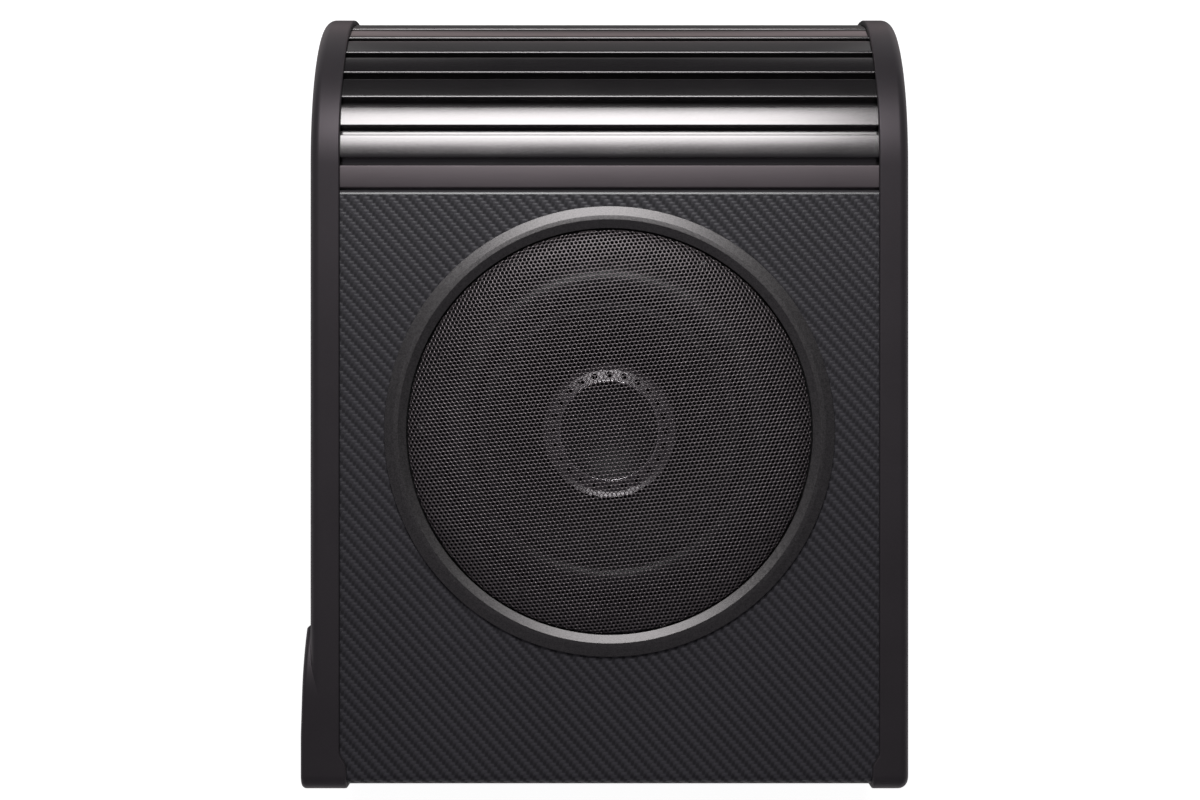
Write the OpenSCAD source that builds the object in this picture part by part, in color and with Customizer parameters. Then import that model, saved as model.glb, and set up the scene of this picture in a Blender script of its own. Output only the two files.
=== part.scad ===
// Powered car subwoofer with a built-in amplifier.
// It lies on its back: X runs across, Y from the toe to the heat sink, Z from the back to the grille.
// All lengths are in millimetres.

/* [Cabinet] */
// Overall width across the two cheeks
cab_w = 306; // [290:1:330]
// Overall height from the toe to the heat sink
cab_h = 407.5; // [402:0.5:440]
// Depth from the back to the front rims of the cheeks
cab_d = 160; // [156:1:180]
// Radius of the rounded heat sink shoulder
shoulder_r = 88; // [84:1:92]
// Radius of the rounded front edge at the toe
toe_r = 8; // [7:0.5:12]
// How far the cheek rims stand proud of the box
rim_proud = 2.5; // [2:0.1:4]
// Thickness of the box boards
board_t = 12; // [10:0.5:14]
// Thickness of the front baffle
baffle_t = 18; // [16:0.5:20]
// Thickness of the vinyl wrap
wrap_t = 0.7; // [0.4:0.1:1]
// Side of the square batten glued in the corner at the toe
batten_w = 12; // [8:0.5:12]

/* [Cheeks] */
// Thickness of the outer wall of a cheek
cheek_t = 4; // [3:0.5:5]
// Width of the rim that a cheek lays over the box
cheek_rim = 15.3; // [13:0.1:18]
// Radius of the rounded outer edge of a cheek
cheek_fillet = 5; // [4:0.5:6]
// Gap between a cheek rim and the box
cheek_gap = 0.2; // [0.1:0.05:0.5]
// Width that the foot of a cheek adds to its rim at the toe
heel_w = 3.4; // [2:0.2:4]
// Height of the foot above the toe
heel_up = 11.5; // [8:0.5:14]
// Length over which the rim widens into the foot
heel_run = 8; // [5:0.5:12]
// Window height along Y
window_y = 62; // [60:1:66]
// Window length along Z
window_z = 86; // [84:1:90]
// Corner radius of a window
window_r = 5; // [3:0.5:8]
// Centre of the windows above the heat sink edge of the wood
window_up = 40.5; // [40:0.5:42]
// Centre of the windows from the back
window_back = 67; // [65:1:70]

/* [Port] */
// Inside radius of the port tube
port_r = 24; // [20:0.5:25]
// Wall of the port tube
port_wall = 2.5; // [2:0.1:3]
// Length of the port tube behind the cheek
port_len = 158; // [120:1:180]
// Width of the lip at the inner end of the port tube
port_lip = 5; // [3:0.5:5]
// Radius of the flare at the port mouth
port_flare = 5; // [3:0.5:6]
// Centre of the port above the toe
port_up = 48; // [47:0.5:54]
// Centre of the port from the front
port_front = 60; // [58:1:70]
// Radius of the round end of the bulge on the port cheek
bulge_r = 55; // [50:1:58]
// Upper end of the bulge above the toe
bulge_up = 83; // [82:0.5:92]
// Height above the toe up to which the bulge has its full thickness
bulge_full = 27.5; // [20:0.5:32]
// Height of the bulge over the cheek at the toe
bulge_h = 4.7; // [4:0.1:6]
// Height of the bulge at its upper end
bulge_low = 3; // [2.5:0.1:3.5]
// Radius of the rounded edge of the bulge
bulge_edge = 2.5; // [2:0.1:2.5]

/* [Heat sink] */
// Pitch of the fins round the shoulder in degrees
fin_pitch = 10.95; // [10:0.05:11.2]
// Angle at which the first fin starts
fin_start = 2.6; // [2:0.1:3.5]
// Number of grooves round the shoulder
fin_count = 7; // [5:1:7]
// Width of the groove between two fins
fin_groove = 4.4; // [3:0.1:5]
// Height of a fin
fin_h = 5; // [3:0.5:6]
// Wall under the fins
sink_wall = 5; // [4:0.5:6]
// Width of the bare label strip
strip_w = 12; // [10:0.5:13]
// Thickness of the label strip
strip_t = 2.5; // [1.5:0.1:3]
// Gap between the vinyl edge and the label strip
strip_gap = 1.5; // [1:0.1:2.5]
// Groove between the label strip and the first fin
strip_groove = 3.7; // [2.5:0.1:4]
// Radius of the screw bosses inside the heat sink
boss_r = 5; // [4:0.5:6]

/* [Driver] */
// Centre of the driver below the middle of the cabinet
driver_down = 20.5; // [10:0.1:26]
// Outer radius of the driver frame
frame_r = 104.5; // [103.8:0.1:105]
// Radius of the hole through the baffle
cutout_r = 91.5; // [91:0.1:93]
// Radius of the screw circle
bolt_r = 96.8; // [96:0.1:98]
// Number of driver screws
bolt_count = 6; // [4:1:8]
// Depth of the rebate in the baffle
rebate = 9; // [8:0.5:10]
// Thickness of the frame flange
flange_t = 2; // [1.5:0.1:2.5]
// Thickness of the foam gasket under the flange
gasket_t = 1.5; // [1:0.1:2]
// Thickness of the trim ring on the flange
trim_t = 3; // [2.5:0.1:3.5]
// Radius of the cone rim
cone_r = 66.5; // [64:0.5:68]
// Depth of the cone
cone_depth = 31; // [28:0.5:33]
// Thickness of the cone
cone_t = 1; // [0.6:0.1:1.4]
// Width of the surround roll
roll_w = 21; // [19:0.5:22]
// Height of the surround roll
roll_h = 6.5; // [5:0.5:7]
// Outside radius of the dust cap ring
cap_ring_r = 34.8; // [33:0.2:36]
// Radius of the dust cap disc
cap_r = 25.2; // [24.4:0.2:25.6]
// Depth of the hollow in the dust cap disc
cap_dish = 6.5; // [4:0.5:8]
// Thickness of the dust cap disc
cap_t = 1.2; // [0.8:0.1:1.6]
// Number of vents in the dust cap ring
vent_count = 24; // [12:1:28]
// Radius of a vent
vent_r = 1.6; // [1:0.1:1.8]
// Outside radius of the coil former
former_r = 25.4; // [25.2:0.1:25.8]
// Length of the winding
winding_len = 22; // [18:1:24]
// Radius of the magnet
magnet_r = 60; // [54:1:66]
// Thickness of the magnet
magnet_t = 22; // [18:1:25]
// Thickness of the top plate and of the back plate
iron_t = 6; // [5:0.5:8]

/* [Grille] */
// Outside radius of the grille ring
ring_r = 115; // [113.5:0.1:118]
// Inside radius of the grille ring
ring_in = 103.8; // [102.5:0.1:104.2]
// Height of the grille ring over the vinyl
ring_h = 2.9; // [2.8:0.1:5]
// Height of the outer edge of the grille ring
ring_edge = 1.6; // [1:0.1:2]
// Height of the inner edge of the grille ring
ring_lip = 1.7; // [1.4:0.1:2.4]
// Length of the pegs under the grille ring
peg_len = 8; // [6:0.5:8.5]
// Rise of the mesh dome
dome_h = 9; // [8:0.5:12]
// Thickness of the mesh
mesh_t = 1; // [0.8:0.1:1.2]

/* [Amplifier] */
// Depth of the end plates behind the ends of the heat sink
plate_in = 9; // [8.5:0.5:10]
// Thickness of an end plate
plate_t = 2; // [1.5:0.1:2.5]
// Radius of a control knob
knob_r = 6.5; // [5:0.1:7.5]
// Length of a control knob
knob_len = 9.5; // [8:0.1:10]
// Radius of a knob shaft
shaft_r = 3; // [2.5:0.1:3.2]
// Running clearance round a knob shaft
shaft_fit = 0.05; // [0.02:0.01:0.1]
// Spacing of the three columns on the end plates
column = 19; // [18:0.5:20]
// Width of a fuse
fuse_w = 18.6; // [17:0.1:19]
// Thickness of a fuse
fuse_t = 4.8; // [4:0.1:5.2]
// Radius of a smoothing capacitor
cap_can_r = 9; // [7:0.5:10]
// Height of a smoothing capacitor
cap_can_h = 36; // [30:1:40]
// Number of power transistors
fet_count = 6; // [4:1:6]
// Length of the terminal strip
term_len = 56; // [55:0.5:58]
// Height of the terminal strip
term_h = 16; // [14:0.5:17]
// Spacing of the terminal screws
term_pitch = 18; // [16:0.5:18]
// How far the barriers stand over the terminal strip
barrier_out = 5; // [4:0.5:6]
// Length of the fuse holder
holder_len = 52; // [50:0.5:56]
// Height of the fuse holder
holder_h = 13; // [10:0.5:14]
// Radius of the sleeve of an input jack
rca_r = 4.15; // [4:0.05:4.3]
// Length of the sleeve of an input jack
rca_len = 9.5; // [8:0.5:10]
// Width of the speaker level socket
socket_w = 20; // [16:0.5:20]
// Height of the speaker level socket
socket_h = 12; // [10:0.5:14]
// Width of the remote jack
jack_w = 15; // [13:0.5:16]
// Height of the remote jack
jack_h = 14; // [12:0.5:15]
// Travel of the phase lever
lever_throw = 4; // [3:0.5:5]
// Radius of the power light
led_r = 1.5; // [1.2:0.1:2]

/* [Fasteners] */
// Radius of a cheek screw
cheek_screw_r = 1.75; // [1.5:0.05:2]
// Radius of the countersunk head of a cheek screw
cheek_head_r = 4; // [3.5:0.1:4.5]
// Height of the countersunk head of a cheek screw
cheek_head_h = 2.2; // [1.8:0.1:2.6]
// Length of a cheek screw
cheek_screw_len = 14; // [10:0.5:15]
// Radius of a driver screw
driver_screw_r = 2; // [1.7:0.1:2.2]
// Radius of the head of a driver screw
driver_head_r = 3.6; // [3.2:0.1:4]
// Height of the head of a driver screw
driver_head_h = 2.2; // [1.8:0.1:2.6]
// Length of a driver screw under its head
driver_screw_len = 15; // [12:0.5:16]
// Radius of the small machine screws
small_screw_r = 1.5; // [1.2:0.1:1.7]
// Radius of the head of a small machine screw
small_head_r = 3; // [2.6:0.1:3.4]
// Height of the head of a small machine screw
small_head_h = 2; // [1.5:0.1:2.5]
// Length of a screw in the end plates
plate_screw_len = 11; // [8:0.5:12]

/* [Hidden] */
$fn = 64;
fit = 0.1;
over = 1;
box_x = cab_w / 2 - cheek_t;
y_top = cab_h / 2;
y_bot = -cab_h / 2;
shoulder_y = y_top - shoulder_r;
shoulder_z = cab_d - shoulder_r;
toe_y = y_bot + toe_r;
toe_z = cab_d - toe_r;
wood_in = rim_proud + wrap_t;
wood_top = shoulder_y - strip_w - strip_gap;
face_z = cab_d - rim_proud;
baffle_z = cab_d - wood_in;
baffle_back = baffle_z - baffle_t;
end_y = y_bot + wood_in + board_t;
heel_drop = 0.05;
divider_y = wood_top - board_t;
sink_r = shoulder_r - rim_proud;
bore_in = rim_proud + fin_h + sink_wall;

driver_y = -driver_down;
ledge_z = baffle_z - rebate;
rebate_gap = 1;
rebate_r = frame_r + rebate_gap;
flange_z = ledge_z + gasket_t;
flange_top = flange_z + flange_t;
foot_t = 1;
roll_out = cone_r + roll_w;
foot_w = 5.5;
lap_w = 4;
foot_out = roll_out + foot_w;
cone_glue = 0.7;
rim_z = flange_top + cone_glue;
neck_r = former_r + fit;
neck_z = rim_z - cone_depth;
plate_drop = 23;
plate_z = neck_z - plate_drop;
coil_mid = plate_z - iron_t / 2;
landing_drop = 11;
landing_z = neck_z - landing_drop;
landing_w = 9;
landing_t = 3;
cup_r = 58;
cup_wall = 3;
cup_floor = 2;
spoke_count = 6;
spoke_w = 14;
spoke_foot = 8;
former_t = 0.4;
winding_t = 1.2;
coil_gap = 0.6;
gap_in = former_r - 2 * coil_gap;
gap_out = former_r + winding_t + coil_gap;
pole_vent_r = 8;
iron_step = 8;
cap_glue = 0.3;
cap_ring_t = 1.5;
cap_ring_slope = 1;
cap_lip_w = 2.8;
cap_lip_h = 0.8;
cap_band_drop = 0.3;
bead_w = 1.4;
bead_h = 0.6;
spider_t = 0.7;
wave_h = 1.6;
lead_x = 6;
lead_r = 1.5;
tinsel_r = 0.6;
tag_y = driver_y + cup_r;
tag_w = 22;
tag_out = 10;
tag_t = 3;
tab_w = 4;
tab_len = 7;
tab_t = 0.8;
tab_z = plate_z + tag_t + tab_t;
tinsel_end = 44;
wire_out = 18;
wire_turn = 10;
wire_bend = 14;
wire_in = 8;
wire_drop = 6;
grommet_r = 12;

mesh_gap = 0.8;
mesh_r = ring_in - mesh_gap;
mesh_seat = 0.5;
mesh_rim_z = face_z + mesh_seat;
mesh_edge = rebate_r - mesh_seat;
ring_step = rebate_r - 0.3;
ring_slope_w = 4.3;
ring_flat_w = 2.1;
ring_flat_drop = 0.15;
peg_r = 3;
peg_ring = (rebate_r + ring_r + 1) / 2;

plate_x = box_x - plate_in - plate_t;
plate_out = plate_x + plate_t;
pane_y = wood_top + window_up;
pane_z = window_back;
row_low = pane_z - 26;
row_mid = pane_z + 2;
row_top = pane_z + 29;
fuse_z = row_top - 6;
switch_y = pane_y + 1;
ctrl_gap = 10;
ctrl_x = plate_x - ctrl_gap;
ctrl_t = 1.6;
ctrl_w = 60;
ctrl_h = 82;
post_h = 12;
post_r = 3.5;
pcb_z = board_t + post_h;
pcb_t = 1.6;
pcb_gap = 2;
pcb_edge = 4;
pcb_top = pcb_z + pcb_t;
wall_y = y_top - bore_in;
fet_w = 16;
fet_t = 5;
fet_h = 20;
fet_lift = 7;
fet_z = pcb_top + fet_lift;
fet_step = 30;
leg_w = 1.2;
leg_t = 0.7;
leg_step = 5.4;
leg_in = 2;
clamp_t = 3.5;
clamp_h = 8;
clamp_up = 12;
clamp_z = fet_z + clamp_up;
clamp_y = wall_y - fet_t - clamp_t;
can_first = 36;
can_step = 24;
can_up = 32;
coil_x = 96;
coil_up = 44;
coil_ring = 14;
coil_wire = 6;

term_out = 3;
term_x = plate_out + term_out;
barrier_t = 2;
term_screw_r = 1.9;
term_head_r = 4;
term_head_h = 3.2;
term_screw_len = 8;
holder_out = 6;
holder_x = plate_out + holder_out;
fuse_gap = 0.3;
fuse_seat = plate_out + 0.5;
fuse_step = 26;
fuse_grip = 4.5;
blade_w = 5;
blade_t = 0.7;
blade_len = 8;
blade_off = 5.6;
rca_body = 12;
rca_neck_r = 4.8;
rca_nut_r = 6;
rca_nut_t = 1.5;
rca_pin_r = 1.7;
socket_wall_y = 2.5;
socket_wall_z = 2;
socket_out = 5;
socket_deep = 9;
jack_wall_y = 1.5;
jack_wall_z = 2.75;
jack_out = 1.5;
jack_deep = 11;
pot_w = 12;
pot_neck = 1.2;
shaft_len = 8;
shaft_play = 0.5;
knob_gap = 0.5;
flute_count = 16;
flute_r = 0.9;
flute_off = 0.4;
flute_start = 2;
pointer_w = 1;
lever_y = 3.6;
lever_z = 3;
lever_in = 5;
lever_out = 4;
lever_play_y = 1;
lever_play_z = 0.6;
lever_slot_y = lever_y + lever_throw + lever_play_y;
lever_slot_z = lever_z + lever_play_z;
switch_w = 13;
switch_h = 8;
switch_deep = 6;
led_out = 0.6;

boss_sink = 1.5;
boss_gap = 0.5;
boss_angle = 50;
boss_arc = shoulder_r - bore_in - boss_r + boss_sink;
bosses = [
    [wood_top + boss_r + boss_gap, cab_d - bore_in - boss_r + boss_sink],
    [shoulder_y + boss_arc * sin(boss_angle), shoulder_z + boss_arc * cos(boss_angle)],
    [wall_y - boss_r + boss_sink, fet_z + fet_h + boss_r + 2 * boss_gap + fit]
];
bolt_edge = 12;
bolt_low = 24;
bolt_amp = 30;
bolt_toe = 26;
bolt_front = 110;
bolt_back = 130;
cheek_bolts = [
    [divider_y - bolt_edge, bolt_amp],
    [divider_y - bolt_edge, baffle_back - bolt_edge],
    [y_bot + bolt_front, baffle_back - bolt_edge],
    [y_bot + bolt_back, bolt_low],
    [y_bot + bolt_toe, bolt_low]
];
post_left = -110;
post_right = 105;
post_low = 12;
post_high = 72;
post_places = [
    for (x = [post_left, post_right])
        for (y = [post_low, post_high])
            [x, y]
];

// Piece to show

// Extrudes a Y-Z profile along X
module along_x(x0, len) {
    translate([x0, 0, 0])
        rotate([90, 0, 90])
            linear_extrude(len)
                children();
}

module across() {
    along_x(-box_x, 2 * box_x)
        children();
}

// Turns a shape so that its Z axis points along +X from the stated place
module face_x(x, y, z) {
    translate([x, y, z])
        rotate([0, 90, 0])
            children();
}

module at_driver(z) {
    translate([0, driver_y, z])
        children();
}

module bolts(r, count) {
    for (i = [0:count - 1])
        rotate(i * 360 / count)
            translate([r, 0, 0])
                children();
}

module block(x0, x1, y, z, wy, wz) {
    translate([x0, y - wy / 2, z - wz / 2])
        cube([x1 - x0, wy, wz]);
}

module ring(r_out, r_in, z0, z1) {
    translate([0, 0, z0])
        difference() {
            cylinder(r = r_out, h = z1 - z0);
            translate([0, 0, -over])
                cylinder(r = r_in, h = z1 - z0 + 2 * over);
        }
}

// Round wire through a list of points
module wire(points, r) {
    for (i = [0:len(points) - 2]) {
        v = points[i + 1] - points[i];
        translate(points[i])
            rotate([0, acos(v[2] / norm(v)), atan2(v[1], v[0])])
                cylinder(r = r, h = norm(v));
    }
    for (i = [1:1:len(points) - 2])
        translate(points[i])
            sphere(r = r * 1.04);
}

// Side outline of the cabinet, moved in by the stated inset on the toe, front and heat sink sides.
// An inset past the radius of the toe leaves a square corner there.
module outline(inset) {
    y0 = y_bot + inset;
    y1 = y_top - inset;
    z1 = cab_d - inset;
    intersection() {
        translate([y0, 0])
            square([y1 - y0, z1]);
        union() {
            difference() {
                translate([y0, 0])
                    square([y1 - y0, z1]);
                translate([shoulder_y, shoulder_z])
                    square(shoulder_r + over);
                if (inset < toe_r)
                    translate([y0 - over, toe_z])
                        square([toe_y - y0 + over, toe_r + over]);
            }
            translate([shoulder_y, shoulder_z])
                circle(shoulder_r - inset);
            if (inset < toe_r)
                translate([toe_y, toe_z])
                    circle(toe_r - inset);
        }
    }
}

module wood() {
    outline(wood_in);
}

module front_baffle() {
    color("peru")
        difference() {
            across()
                intersection() {
                    wood();
                    translate([y_bot, baffle_back])
                        square([wood_top - y_bot, baffle_t + over]);
                }
            at_driver(baffle_back - over)
                cylinder(r = cutout_r, h = baffle_t + 2 * over);
            at_driver(ledge_z)
                cylinder(r = rebate_r, h = baffle_t);
            at_driver(flange_top + trim_t - driver_screw_len - over)
                bolts(bolt_r, bolt_count)
                    cylinder(r = driver_screw_r + fit, h = baffle_t);
            at_driver(ledge_z)
                rotate(45)
                    bolts(peg_ring, 4)
                        cylinder(r = peg_r + fit, h = baffle_t);
        }
}

module corner_batten() {
    x1 = box_x - board_t;
    color("peru")
        along_x(-x1, 2 * x1)
            translate([end_y, baffle_back - batten_w])
                square(batten_w);
}

module end_panel() {
    color("peru")
        across()
            translate([end_y - board_t, board_t])
                square([board_t, baffle_back - board_t]);
}

module back_panel() {
    color("peru")
        across()
            translate([y_bot + wood_in, 0])
                square([cab_h - 2 * wood_in, board_t]);
}

module amp_divider() {
    color("peru")
        difference() {
            across()
                translate([divider_y, board_t])
                    square([board_t, baffle_back - board_t]);
            translate([0, divider_y - over, pane_z])
                rotate([-90, 0, 0])
                    cylinder(r = grommet_r, h = board_t + 2 * over);
        }
}

module side_board() {
    difference() {
        along_x(box_x - board_t, board_t)
            translate([end_y, board_t])
                square([divider_y - end_y, baffle_back - board_t]);
        for (p = cheek_bolts)
            face_x(box_x - board_t - over, p[0], p[1])
                cylinder(r = cheek_screw_r + fit, h = board_t + 2 * over);
    }
}

module side_board_right() {
    color("peru")
        side_board();
}

module side_board_left() {
    color("peru")
        mirror([1, 0, 0])
            difference() {
                side_board();
                at_port(box_x - board_t - over)
                    cylinder(r = port_r + port_wall + fit, h = board_t + 2 * over);
            }
}

module vinyl_wrap() {
    color("dimgray")
        difference() {
            across()
                intersection() {
                    difference() {
                        outline(rim_proud);
                        wood();
                    }
                    translate([y_bot, 0])
                        square([wood_top - y_bot, cab_d]);
                }
            at_driver(baffle_z - over)
                cylinder(r = rebate_r, h = baffle_t);
            at_driver(baffle_z - over)
                rotate(45)
                    bolts(peg_ring, 4)
                        cylinder(r = peg_r + fit, h = baffle_t);
        }
}

module at_port(x) {
    face_x(x, y_bot + port_up, cab_d - port_front)
        children();
}

// Rounded pane that a cheek is made from
module cheek_blank() {
    x0 = cab_w / 2 - cheek_rim;
    x1 = cab_w / 2 - cheek_fillet;
    slice = 0.1;
    hull() {
        along_x(x0, slice)
            outline(0);
        for (a = [0:15:90])
            along_x(x1 + cheek_fillet * sin(a) - slice, slice)
                outline(cheek_fillet * (1 - cos(a)));
    }
}

// Widened foot of a cheek rim at the toe, a hair lower than the rim
module cheek_heel() {
    x0 = cab_w / 2 - cheek_rim;
    steps = 8;
    sweep = [
        for (i = [0:steps])
            let (t = i / steps)
                [x0 - heel_w * (1 - t * t * (3 - 2 * t)), y_bot + heel_up + heel_run * t]
    ];
    intersection() {
        along_x(x0 - heel_w, heel_w + over)
            outline(heel_drop);
        linear_extrude(cab_d)
            polygon(concat(
                [[x0 + over, y_bot], [x0 - heel_w, y_bot]],
                sweep,
                [[x0 + over, y_bot + heel_up + heel_run]]
            ));
    }
}

module cheek_hollow() {
    along_x(0, box_x)
        union() {
            outline(rim_proud - cheek_gap);
            translate([y_bot + rim_proud - cheek_gap, -over])
                square([cab_h - 2 * (rim_proud - cheek_gap), 2 * over]);
        }
}

module window() {
    y0 = pane_y - window_y / 2;
    z0 = pane_z - window_z / 2;
    along_x(0, cab_w)
        union() {
            translate([y0 + window_r, z0])
                square([window_y - 2 * window_r, window_z]);
            translate([y0, z0 + window_r])
                square([window_y, window_z - 2 * window_r]);
            for (y = [y0 + window_r, y0 + window_y - window_r])
                for (z = [z0 + window_r, z0 + window_z - window_r])
                    translate([y, z])
                        circle(window_r);
        }
}

// Countersunk screw pointing in from the outer face of the right cheek
module cheek_screw(gap) {
    x1 = cab_w / 2;
    face_x(x1 - cheek_head_h, 0, 0)
        cylinder(r1 = cheek_screw_r + gap, r2 = cheek_head_r + gap, h = cheek_head_h);
    face_x(x1 - cheek_screw_len, 0, 0)
        cylinder(r = cheek_screw_r + gap, h = cheek_screw_len - over);
}

module cheek_holes() {
    for (p = cheek_bolts)
        translate([0, p[0], p[1]])
            cheek_screw(fit);
}

module right_cheek() {
    color("#2b2b2e")
        difference() {
            union() {
                cheek_blank();
                cheek_heel();
            }
            cheek_hollow();
            window();
            cheek_holes();
        }
}

// Side outline of the bulge up to the stated height along Y
module bulge_outline(inset, y1) {
    r = bulge_r - inset;
    y0 = y_bot + port_up;
    intersection() {
        outline(inset);
        translate([y_bot, 0])
            square([y1 - inset - y_bot, cab_d]);
        union() {
            translate([y0, cab_d - bulge_r])
                circle(r);
            translate([y_bot, cab_d - bulge_r - r])
                square([y0 - y_bot, 2 * r]);
        }
    }
}

// Flat bulge, flush with the front of the cheek, that grows thicker towards the toe
module bulge() {
    x0 = cab_w / 2 - cheek_fillet;
    slice = 0.1;
    hull() {
        along_x(x0, slice)
            bulge_outline(0, y_bot + bulge_up);
        for (a = [0:15:90]) {
            x1 = cab_w / 2 - bulge_edge * (1 - sin(a)) - slice;
            inset = bulge_edge * (1 - cos(a));
            along_x(x1 + bulge_low, slice)
                bulge_outline(inset, y_bot + bulge_up);
            along_x(x1 + bulge_h, slice)
                bulge_outline(inset, y_bot + bulge_full);
        }
    }
}

module port_mouth() {
    at_port(0)
        cylinder(r = port_r, h = cab_w);
    at_port(cab_w / 2 + bulge_h - port_flare)
        rotate_extrude()
            difference() {
                square([port_r + port_flare, port_flare + over]);
                translate([port_r + port_flare, 0])
                    circle(port_flare);
            }
}

module left_cheek() {
    color("#2b2b2e")
        mirror([1, 0, 0])
            difference() {
                union() {
                    cheek_blank();
                    cheek_heel();
                    bulge();
                }
                cheek_hollow();
                window();
                cheek_holes();
                port_mouth();
            }
}

module cheek_screws() {
    color("#38383a")
        for (m = [0, 1])
            mirror([m, 0, 0])
                for (p = cheek_bolts)
                    translate([0, p[0], p[1]])
                        cheek_screw(0);
}

module port_tube() {
    out_r = port_r + port_wall;
    color("#222222")
        mirror([1, 0, 0])
            at_port(box_x - port_len)
                rotate_extrude()
                    union() {
                        translate([port_r, 0])
                            square([port_wall, port_len]);
                        translate([port_r, 0])
                            square([out_r - port_r + port_lip, port_wall]);
                    }
}

// Slot across a fin groove, at an angle from the front
module fin_slot(angle, width) {
    translate([shoulder_y, shoulder_z])
        rotate(90 - angle)
            translate([sink_r - fin_h, -width / 2])
                square([fin_h + 2 * over, width]);
}

module sink_profile() {
    fin_step = fin_pitch * PI / 180 * sink_r;
    difference() {
        intersection() {
            outline(rim_proud);
            translate([wood_top, board_t])
                square([shoulder_r * 2, cab_d]);
        }
        intersection() {
            outline(bore_in);
            translate([wood_top - over, 0])
                square([shoulder_r * 2, cab_d]);
        }
        translate([wood_top - over, face_z - strip_t])
            square([shoulder_y - wood_top + over, strip_t + over]);
        translate([shoulder_y, face_z - fin_h])
            square([strip_groove, fin_h + over]);
        for (i = [0:fin_count - 1])
            fin_slot(fin_start + (i + 1) * fin_pitch - fin_groove / 2 / sink_r * 180 / PI, fin_groove);
        for (i = [1:3])
            translate([y_top - rim_proud - fin_h, shoulder_z - i * fin_step])
                square([fin_h + over, fin_groove]);
    }
}

module heat_sink() {
    color("#8f8a8d")
        difference() {
            union() {
                across()
                    sink_profile();
                along_x(-plate_x, 2 * plate_x)
                    for (b = bosses)
                        translate(b)
                            circle(boss_r);
            }
            for (m = [0, 1])
                mirror([m, 0, 0])
                    for (b = bosses)
                        face_x(plate_out - plate_screw_len - over, b[0], b[1])
                            cylinder(r = small_screw_r + fit, h = plate_screw_len + over);
            for (x = clamp_spots())
                translate([x, wall_y - over, clamp_z])
                    rotate([-90, 0, 0])
                        cylinder(r = small_screw_r + fit, h = sink_wall);
        }
}

module label_strip() {
    color("#5f585c")
        across()
            translate([shoulder_y - strip_w, face_z - strip_t])
                square([strip_w, strip_t]);
}

module grille_ring() {
    flat_in = ring_in + ring_slope_w;
    color("#77767a")
        at_driver(face_z) {
            rotate_extrude()
                polygon([
                    [ring_in, mesh_seat],
                    [ring_step, mesh_seat],
                    [ring_step, 0],
                    [ring_r, 0],
                    [ring_r, ring_edge],
                    [flat_in + ring_flat_w, ring_h - ring_flat_drop],
                    [flat_in, ring_h],
                    [ring_in, ring_lip]
                ]);
            rotate(45)
                bolts(peg_ring, 4)
                    translate([0, 0, -peg_len])
                        cylinder(r = peg_r, h = peg_len + over);
        }
}

// Height of the mesh dome over its rim
function dome_z(r) = dome_h * sqrt(max(0, 1 - pow(r / mesh_r, 4)));

module grille_mesh() {
    steps = 14;
    rs = [for (i = [0:steps]) mesh_r * sin(90 * i / steps)];
    color("#3a393b")
        at_driver(mesh_rim_z - mesh_t)
            rotate_extrude()
                polygon(concat(
                    [for (r = rs) [r, dome_z(r) + mesh_t]],
                    [[mesh_edge, mesh_t], [mesh_edge, 0]],
                    [for (i = [steps:-1:0]) [rs[i] * (1 - mesh_t / mesh_r), dome_z(rs[i])]]
                ));
}

module frame_gasket() {
    color("#1d1d1d")
        at_driver(0)
            difference() {
                ring(frame_r, cutout_r + rebate_gap, ledge_z, flange_z);
                bolts(bolt_r, bolt_count)
                    translate([0, 0, ledge_z - over])
                        cylinder(r = driver_screw_r + fit, h = gasket_t + 2 * over);
            }
}

module basket() {
    color("#2c2c2e")
        at_driver(0)
            difference() {
                union() {
                    ring(frame_r, roll_out - flange_t, flange_z, flange_top);
                    ring(cup_r, cup_r - cup_wall, plate_z, landing_z);
                    ring(cup_r, gap_out + cup_wall, plate_z, plate_z + cup_floor);
                    ring(cup_r, cup_r - landing_w, landing_z - landing_t, landing_z);
                    for (i = [0:spoke_count - 1])
                        rotate(i * 360 / spoke_count)
                            translate([0, spoke_w / 2, 0])
                                rotate([90, 0, 0])
                                    linear_extrude(spoke_w)
                                        polygon([
                                            [cup_r - cup_wall / 2, landing_z - over - spoke_foot],
                                            [cutout_r - rebate_gap, flange_z - landing_t],
                                            [cutout_r - rebate_gap, flange_z + flange_t / 2],
                                            [roll_out - over, flange_z + flange_t / 2],
                                            [cup_r - cup_wall / 2, landing_z - over]
                                        ]);
                }
                bolts(bolt_r, bolt_count)
                    translate([0, 0, flange_z - over])
                        cylinder(r = driver_screw_r + fit, h = flange_t + 2 * over);
            }
}

module trim_ring() {
    color("#1b1b1c")
        at_driver(flange_top)
            difference() {
                rotate_extrude()
                    polygon([
                        [roll_out + foot_t, foot_t + fit],
                        [foot_out + fit, foot_t + fit],
                        [foot_out + fit, 0],
                        [frame_r - rebate_gap, 0],
                        [frame_r - rebate_gap, trim_t],
                        [roll_out + foot_t, trim_t]
                    ]);
                bolts(bolt_r, bolt_count)
                    translate([0, 0, -over])
                        cylinder(r = driver_screw_r + fit, h = trim_t + 2 * over);
            }
}

module driver_screws() {
    color("#8c8c90")
        at_driver(flange_top + trim_t)
            bolts(bolt_r, bolt_count) {
                cylinder(r = driver_head_r, h = driver_head_h);
                translate([0, 0, -driver_screw_len])
                    cylinder(r = driver_screw_r, h = driver_screw_len + over);
            }
}

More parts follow.
